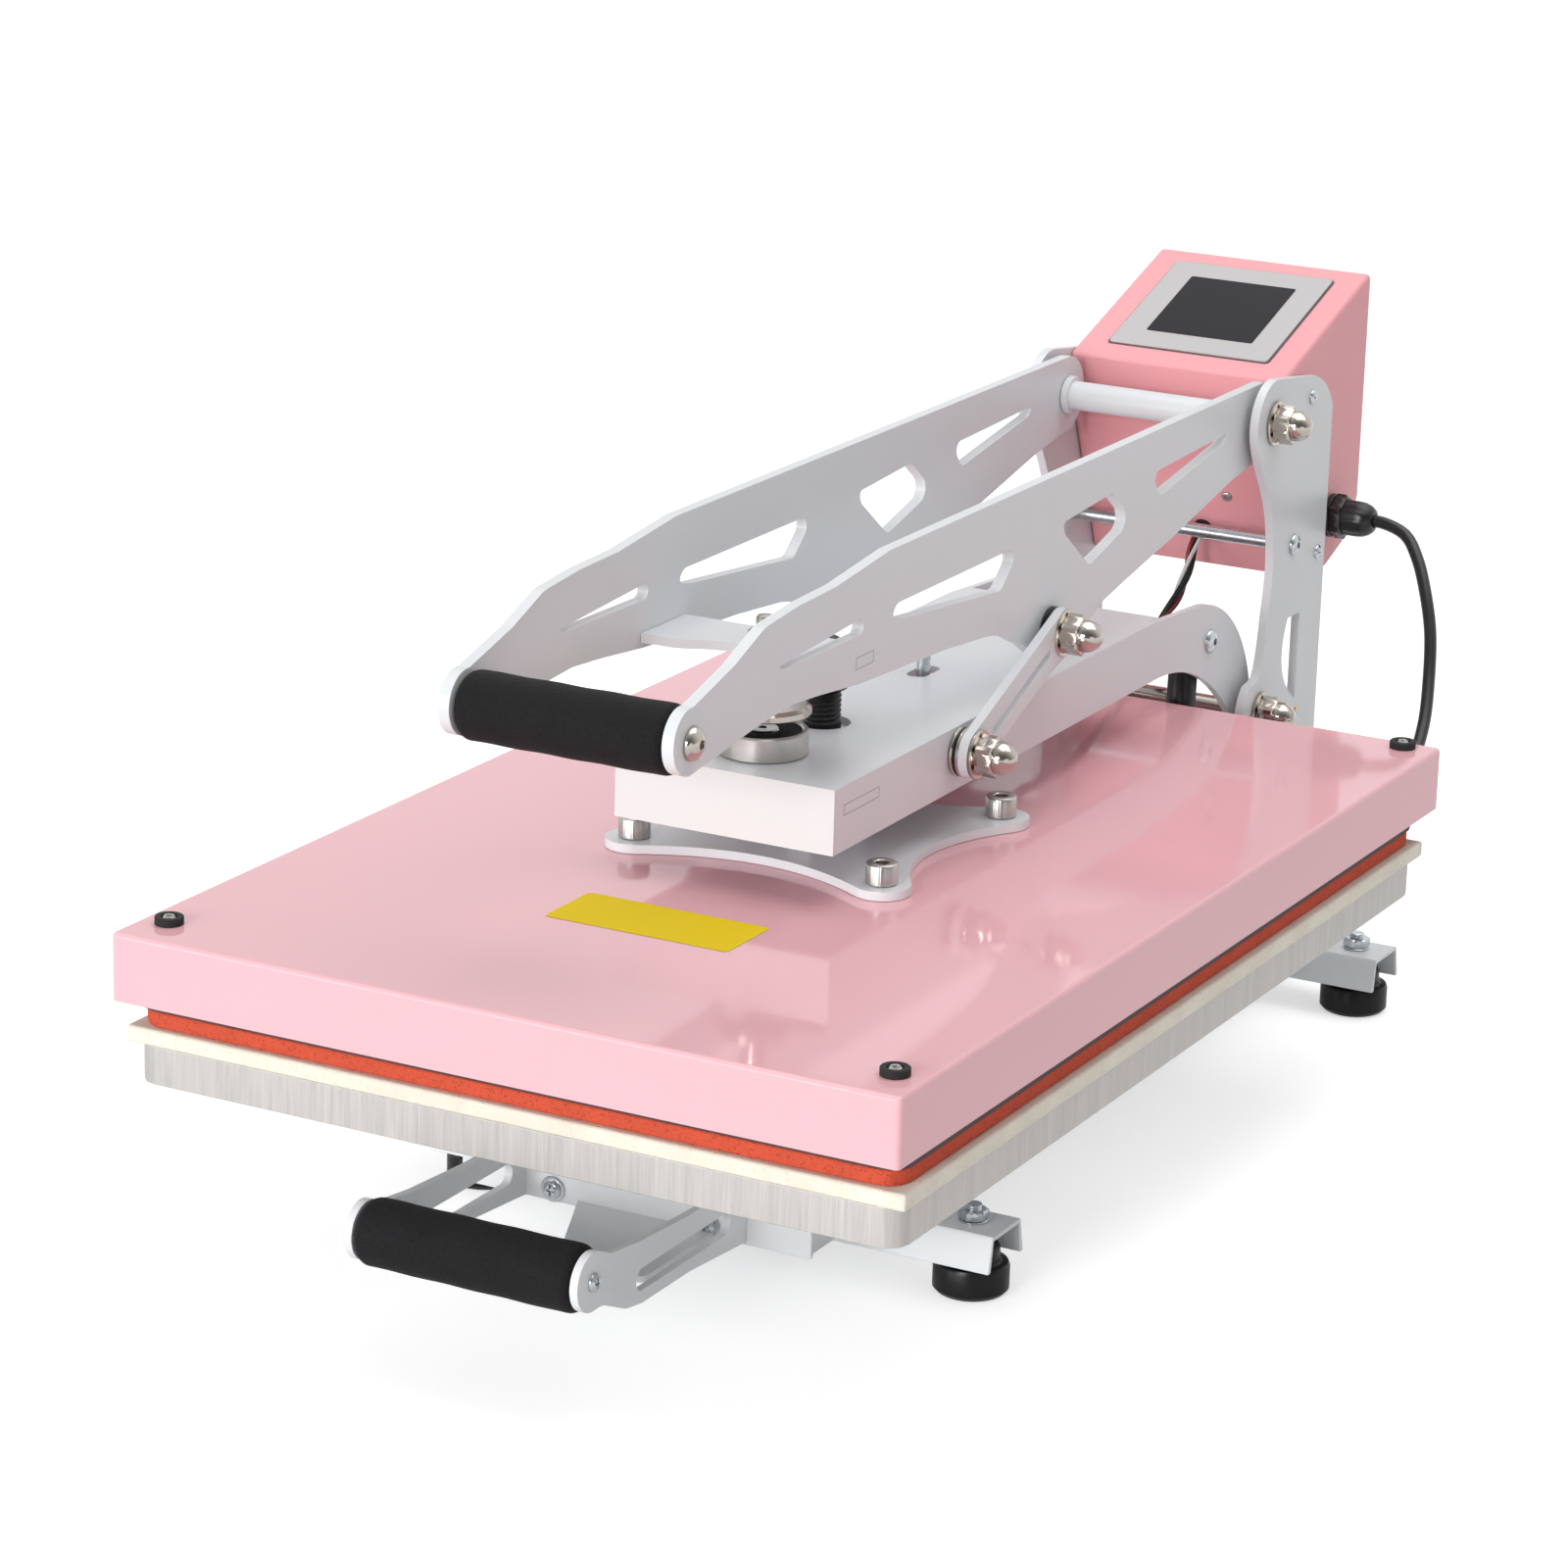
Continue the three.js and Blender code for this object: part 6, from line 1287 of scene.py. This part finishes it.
# Floor: matt paper round the press, which fades into pure white from FADE_START to FADE_END
FLOOR_HALF, FADE_START, FADE_END = 30, 0.7, 1.6
half = FLOOR_HALF
corners = [(-half, -half, 0), (half, -half, 0), (half, half, 0), (-half, half, 0)]
floor_mesh = bpy.data.meshes.new("floor")
floor_mesh.from_pydata(corners, [], [(0, 1, 2, 3)])
floor = shown("floor", floor_mesh)
paper = bpy.data.materials.new("floor_paper")
paper.use_nodes = True
tree = paper.node_tree
reach = node(tree, "ShaderNodeVectorMath", {0: object_place(tree)}, operation="LENGTH")
far = smooth_range(tree, reach.outputs["Value"], FADE_START, FADE_END)
path = node(tree, "ShaderNodeLightPath").outputs
seen = maths(tree, "MAXIMUM", path["Is Camera Ray"], path["Is Glossy Ray"])
near = maths(tree, "MULTIPLY_ADD", path["Is Camera Ray"], 0.35, 0.2)
glow = maths(tree, "MULTIPLY_ADD", maths(tree, "SUBTRACT", 1.0, near), far, near)
ground = mixed(tree, far, (0.86, 0.86, 0.86), (0.2, 0.2, 0.2))
looks = {"Base Color": ground, "Roughness": 0.9, "Specular IOR Level": 0.1}
looks |= {"Emission Color": (1, 1, 1), "Emission Strength": maths(tree, "MULTIPLY", glow, seen)}
feed(tree, tree.nodes["Principled BSDF"].inputs, looks)
floor_mesh.materials.append(paper)

# World: SOFT lights the press; what is seen straight on or mirrored is white, and mirrored it
# darkens away from BRIGHT_SIDE down to DIM
SOFT, BRIGHT_SIDE, DIM = 0.53, (-0.42, 0.86, 0.28), 0.16
world = bpy.data.worlds.new("studio")
bpy.context.scene.world = world
world.use_nodes = True
tree = world.node_tree
for old in list(tree.nodes):
    tree.nodes.remove(old)
path = node(tree, "ShaderNodeLightPath").outputs
around = node(tree, "ShaderNodeTexCoord").outputs["Generated"]
toward = node(tree, "ShaderNodeVectorMath", {0: around, 1: BRIGHT_SIDE}, operation="DOT_PRODUCT")
ramp = smooth_range(tree, toward.outputs["Value"], -0.75, 0.35, DIM)
shade = maths(tree, "MAXIMUM", ramp, path["Is Camera Ray"])
soft = node(tree, "ShaderNodeBackground", {"Strength": SOFT}).outputs[0]
bright = node(tree, "ShaderNodeBackground", {"Color": shade, "Strength": 1.0}).outputs[0]
seen = maths(tree, "MAXIMUM", path["Is Camera Ray"], path["Is Glossy Ray"])
seen = maths(tree, "MAXIMUM", seen, path["Is Transmission Ray"])
choose = node(tree, "ShaderNodeMixShader", {0: seen, 1: soft, 2: bright})
node(tree, "ShaderNodeOutputWorld", {"Surface": choose.outputs[0]})

# Softboxes: place, target, width and height in metres, watts
for name, place, target, size, power in (
    ("front_softbox", (-2.0, -6.0, 1.0), (0, 0, 0.15), (6.0, 1.9), 195),
    ("middle_softbox", (0.1, -6.0, 1.9), (0, 0, 0.15), (1.8, 1.0), 110),
    ("right_softbox", (3.6, -2.4, 0.6), (0, 0, 0.1), (2.0, 0.8), 5),
    ("top_softbox", (0.3, 0.5, 2.35), (0, 0, 0.1), (2.2, 2.2), 25),
):
    data = bpy.data.lights.new(name, "AREA")
    data.shape = "RECTANGLE"
    data.size, data.size_y = size
    data.energy = power
    lamp = shown(name, data)
    lamp.location = place
    lamp.rotation_euler = (Vector(target) - Vector(place)).to_track_quat("-Z", "Y").to_euler()

bpy.context.scene.view_settings.view_transform = "Standard"
